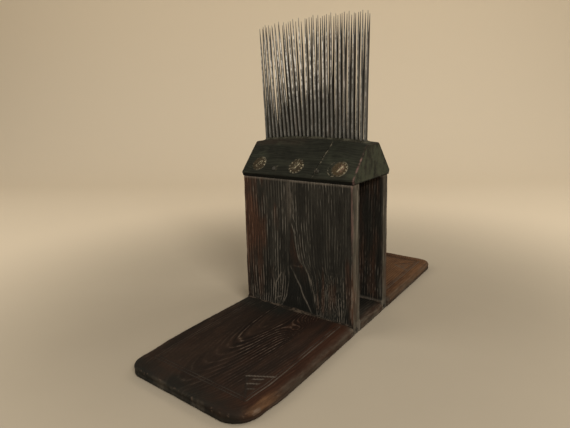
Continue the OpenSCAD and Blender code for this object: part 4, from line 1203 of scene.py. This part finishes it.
class COMB_OT_stage(bpy.types.Operator):
    """Floor that sweeps up into a backdrop, three soft lamps and the photograph's camera"""
    bl_idname = "comb.stage"
    bl_label = "Stage, lamps and camera"

    def execute(self, context):
        scene = context.scene
        across = np.linspace(-4, 4, 9)
        sweep = np.linspace(0, math.pi / 2, 13)
        radius, back = 0.9, 1.15
        path_y = np.concatenate([[-4.0, -1.0, 0.0], back + radius * np.sin(sweep), [back + radius]])
        path_z = np.concatenate([[0.0, 0.0, 0.0], radius - radius * np.cos(sweep), [4.0]])
        points = np.stack(np.broadcast_arrays(across[:, None], path_y[None], path_z[None]), -1)
        n, m = points.shape[:2]
        index = np.arange(n * m).reshape(n, m)
        quads = np.stack([index[:-1, :-1], index[1:, :-1], index[1:, 1:], index[:-1, 1:]], -1).reshape(-1, 4)
        mesh = bpy.data.meshes.new("backdrop")
        turn = np.array(Matrix.Rotation(math.radians(30), 3, "Z"))
        mesh.from_pydata((points.reshape(-1, 3) @ turn.T).tolist(), [], quads.tolist())
        mesh.polygons.foreach_set("use_smooth", np.ones(len(mesh.polygons), bool))
        floor = bpy.data.objects.new("backdrop", mesh)
        scene.collection.objects.link(floor)
        finish = Finish("backdrop_cloth")
        weave = finish.noise(9.0, None, 3.0, 0.5)
        pale = tuple(colours_of(context).backdrop)
        colour = finish.mixed(weave, scaled(pale, 0.97), scaled(pale, 1.03))
        # Painted light on the floor and backdrop: darker near the comb, nearly twice as bright further off.
        reach = finish.node("ShaderNodeVectorMath", {"operation": "LENGTH"}, {0: finish.place()})
        far = Value(finish, reach.outputs["Value"]).step(0.28, 0.9)
        colour = finish.mixed(far, colour, scaled(pale, 1.95))
        dress(floor, finish.set(Base_Color=colour, Roughness=0.95, Specular_IOR_Level=0.1))

        world = bpy.data.worlds.new("studio")
        scene.world = world
        world.use_nodes = True
        light = world.node_tree.nodes["Background"]
        light.inputs["Strength"].default_value = 0.4
        path = world.node_tree.nodes.new("ShaderNodeLightPath")
        seen = world.node_tree.nodes.new("ShaderNodeMix")
        seen.data_type = "RGBA"
        seen.inputs["A"].default_value = (1.0, 0.93, 0.83, 1)
        seen.inputs["B"].default_value = (1.3, 1.05, 0.72, 1)
        direct = path.outputs["Is Camera Ray"]
        for ray in ("Is Glossy Ray", "Is Transmission Ray"):
            either = world.node_tree.nodes.new("ShaderNodeMath")
            either.operation = "MAXIMUM"
            world.node_tree.links.new(direct, either.inputs[0])
            world.node_tree.links.new(path.outputs[ray], either.inputs[1])
            direct = either.outputs[0]
        world.node_tree.links.new(direct, seen.inputs["Factor"])
        world.node_tree.links.new(seen.outputs["Result"], light.inputs["Color"])
        for name, place, aim, size, power in (
                ("lamp_right", (1.7, -1.1, 1.5), (0, 0, 0.2), 0.9, 40.0),
                ("lamp_left", (-1.5, -1.2, 1.5), (0, 0, 0.2), 1.4, 14.0),
                ("lamp_back", (0.9, 1.2, 1.7), (0, 0, 0.3), 0.8, 10.0)):
            lamp = bpy.data.lights.new(name, "AREA")
            lamp.size = size
            lamp.energy = power
            lamp.color = (1.0, 0.955, 0.89)
            obj = bpy.data.objects.new(name, lamp)
            scene.collection.objects.link(obj)
            obj.location = place
            obj.rotation_euler = (Vector(aim) - Vector(place)).to_track_quat("-Z", "Y").to_euler()

        camera = bpy.data.objects.new("camera", bpy.data.cameras.new("camera"))
        scene.collection.objects.link(camera)
        focal_px, frame_px = 445.19, 570
        camera.data.sensor_width = 36.0
        camera.data.sensor_fit = "HORIZONTAL"
        camera.data.lens = 36.0 * focal_px / frame_px
        camera.data.clip_start = 0.01
        yaw, pitch, roll = math.radians(36.89), math.radians(-14.06), math.radians(-1.74)
        look = Vector((-math.sin(yaw) * math.cos(pitch), math.cos(yaw) * math.cos(pitch), math.sin(pitch)))
        right = Vector((math.cos(yaw), math.sin(yaw), 0))
        up = right.cross(look)
        turned_right = right * math.cos(roll) + up * math.sin(roll)
        turned_up = up * math.cos(roll) - right * math.sin(roll)
        matrix = Matrix((turned_right, turned_up, -look)).transposed().to_4x4()
        matrix.translation = Vector((0.3759, -0.56995, 0.3339))
        camera.matrix_world = matrix
        scene.camera = camera
        scene.view_settings.view_transform = "Standard"
        return {"FINISHED"}


class COMB_OT_foot_board(bpy.types.Operator):
    """Long foot board with its worn edges, raised grain and carved borders"""
    bl_idname = "comb.foot_board"
    bl_label = "Foot board"

    def execute(self, context):
        verts, quads, fields = build_board(sizes_of(context))
        obj = make_piece("foot_board", verts, quads, "base_board", 50, fields)
        colour = tuple(colours_of(context).foot_wood)
        wood = wood_finish("foot_board_wood", colour, 1, (0.037, 0.0130, 0.0052), (0.128, 0.094, 0.070),
                           (0.13, 0.088, 0.060), (0.140, 0.066, 0.027), 0.6)
        dress(obj, wood.material)
        return {"FINISHED"}


class COMB_OT_uprights(bpy.types.Operator):
    """Front and rear uprights with deep weathered grain, tongues and tenons"""
    bl_idname = "comb.uprights"
    bl_label = "Uprights"

    def execute(self, context):
        colour = tuple(colours_of(context).board_wood)
        wood = wood_finish("upright_wood", colour, 2, (0.098, 0.045, 0.025), (0.155, 0.140, 0.115),
                           (0.16, 0.092, 0.074), (0.09, 0.06, 0.04), 0.7)
        for node, low, high, inner_front, figures in (
                ("front_upright", FRONT_LOW, FRONT_HIGH, True, ((70, FRONT_LEGS, FRONT_OUTER), arched(130, 24.0))),
                ("rear_upright", REAR_LOW, REAR_HIGH, False, ((110, (), UPRIGHT_LINES), arched(90, 10.0)))):
            verts, quads, fields = build_upright(sizes_of(context), low, high, inner_front, figures)
            dress(make_piece(node + "_wood", verts, quads, node, 50, fields), wood.material)
        return {"FINISHED"}


class COMB_OT_head(bpy.types.Operator):
    """Head with sloping sides, crowned top and three carved rosettes"""
    bl_idname = "comb.head"
    bl_label = "Head"

    def execute(self, context):
        verts, quads, fields = build_head(sizes_of(context))
        obj = make_piece("head_wood", verts, quads, "head_block", 50, fields)
        closed(obj)
        dress(obj, head_finish("head_wood_finish", tuple(colours_of(context).head_wood)))
        return {"FINISHED"}


class COMB_OT_tines(bpy.types.Operator):
    """Fifty-two forged tines in two rows"""
    bl_idname = "comb.tines"
    bl_label = "Tines"

    def execute(self, context):
        iron = iron_finish("tine_iron_finish", tuple(colours_of(context).iron), (0.075, 0.048, 0.03), 0.35)
        for row, row_name in enumerate(("front", "rear")):
            foot, axis, stem, reach = tine_axes(row)
            facing = math.radians((-115, 65)[row])
            for i in range(TINES_PER_ROW):
                node = f"tine_{row_name}_{i + 1:02d}"
                seed = 1.7 * i + 50 * row
                verts, quads, fields = build_tine(foot[i], axis[i], stem[i], reach[i], seed, facing,
                                                 sizes_of(context))
                obj = make_piece(f"spike_{row_name}_{i + 1:02d}", verts, quads, node, 60, fields)
                dress(closed(obj), iron)
        return {"FINISHED"}


class COMB_OT_grease(bpy.types.Operator):
    """Old grease round the tines' feet, and dirt in the corners under the uprights"""
    bl_idname = "comb.grease"
    bl_label = "Grease and dirt"

    def execute(self, context):
        grease = grime_finish("wool_grease", (0.017, 0.016, 0.010), (0.058, 0.054, 0.037))
        for row, row_name in enumerate(("front", "rear")):
            verts, quads = build_grease(row)
            obj = make_piece(f"grease_{row_name}_row", verts, quads, None, 60)
            dress(closed(obj), grease)
        dirt = grime_finish("corner_dirt", (0.010, 0.0080, 0.0055), (0.066, 0.049, 0.034))
        half = FRONT_HIGH[0] - 1.5
        coves = [build_cove(FRONT_LOW[1] + 0.3, 1, half, 211, 4.2, 1.8),
                 build_cove(FRONT_HIGH[1] - 0.3, -1, half, 221, 1.6, 1.6),
                 build_cove(REAR_LOW[1] + 0.3, 1, half, 231, 1.4, 1.5),
                 build_cove(REAR_HIGH[1] - 0.3, -1, half, 241, 3.0, 2.4)]
        verts, quads = joined(coves)
        dress(closed(make_piece("corner_dirt_banks", verts, quads, None, 60)), dirt)
        return {"FINISHED"}


class COMB_OT_small_parts(bpy.types.Operator):
    """Finishes of the nails and wedges, whose solids have their right shape"""
    bl_idname = "comb.small_parts"
    bl_label = "Nails and wedges"

    def execute(self, context):
        nails = iron_finish("nail_iron_finish", (0.060, 0.060, 0.048), (0.035, 0.033, 0.025), 1.0)
        wedge = wood_finish("wedge_wood_finish", (0.035, 0.022, 0.014), 2, (0.05, 0.028, 0.016), (0.05, 0.04, 0.03),
                            (0.12, 0.085, 0.06), (0.08, 0.05, 0.03), 0.3)
        bright = iron_finish("foot_nail_finish", (0.16, 0.155, 0.14), (0.06, 0.045, 0.032), 0.4)
        for node, metal in (("foot_nails", bright), ("front_head_nails", nails), ("rear_head_nails", nails)):
            dress(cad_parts[node], metal)
        for node in ("front_tenon_wedges", "rear_tenon_wedges"):
            dress(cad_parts[node], wedge.material)
        return {"FINISHED"}


class COMB_PT_panel(bpy.types.Panel):
    """Lists the builders of the comb with its sizes and colours"""
    bl_idname = "COMB_PT_panel"
    bl_label = "Wool comb"
    bl_space_type = "VIEW_3D"
    bl_region_type = "UI"
    bl_category = "Wool comb"

    def draw(self, context):
        layout = self.layout
        for operator in OPERATORS:
            layout.operator(operator.bl_idname)
        for group in (context.scene.comb_sizes, context.scene.comb_colours):
            for key in group.bl_rna.properties.keys():
                if key not in ("rna_type", "name"):
                    layout.prop(group, key)


OPERATORS = (COMB_OT_stage, COMB_OT_foot_board, COMB_OT_uprights, COMB_OT_head, COMB_OT_tines,
             COMB_OT_grease, COMB_OT_small_parts)
CLASSES = (CombSizes, CombColours, *OPERATORS, COMB_PT_panel)


def register():
    for cls in CLASSES:
        bpy.utils.register_class(cls)
    bpy.types.Scene.comb_sizes = bpy.props.PointerProperty(type=CombSizes)
    bpy.types.Scene.comb_colours = bpy.props.PointerProperty(type=CombColours)


def unregister():
    del bpy.types.Scene.comb_colours
    del bpy.types.Scene.comb_sizes
    for cls in reversed(CLASSES):
        bpy.utils.unregister_class(cls)


def main():
    """Builds the comb piece by piece."""
    register()
    bpy.ops.comb.stage()
    bpy.ops.comb.foot_board()
    bpy.ops.comb.uprights()
    bpy.ops.comb.head()
    bpy.ops.comb.tines()
    bpy.ops.comb.grease()
    bpy.ops.comb.small_parts()


if __name__ == "__main__":
    main()
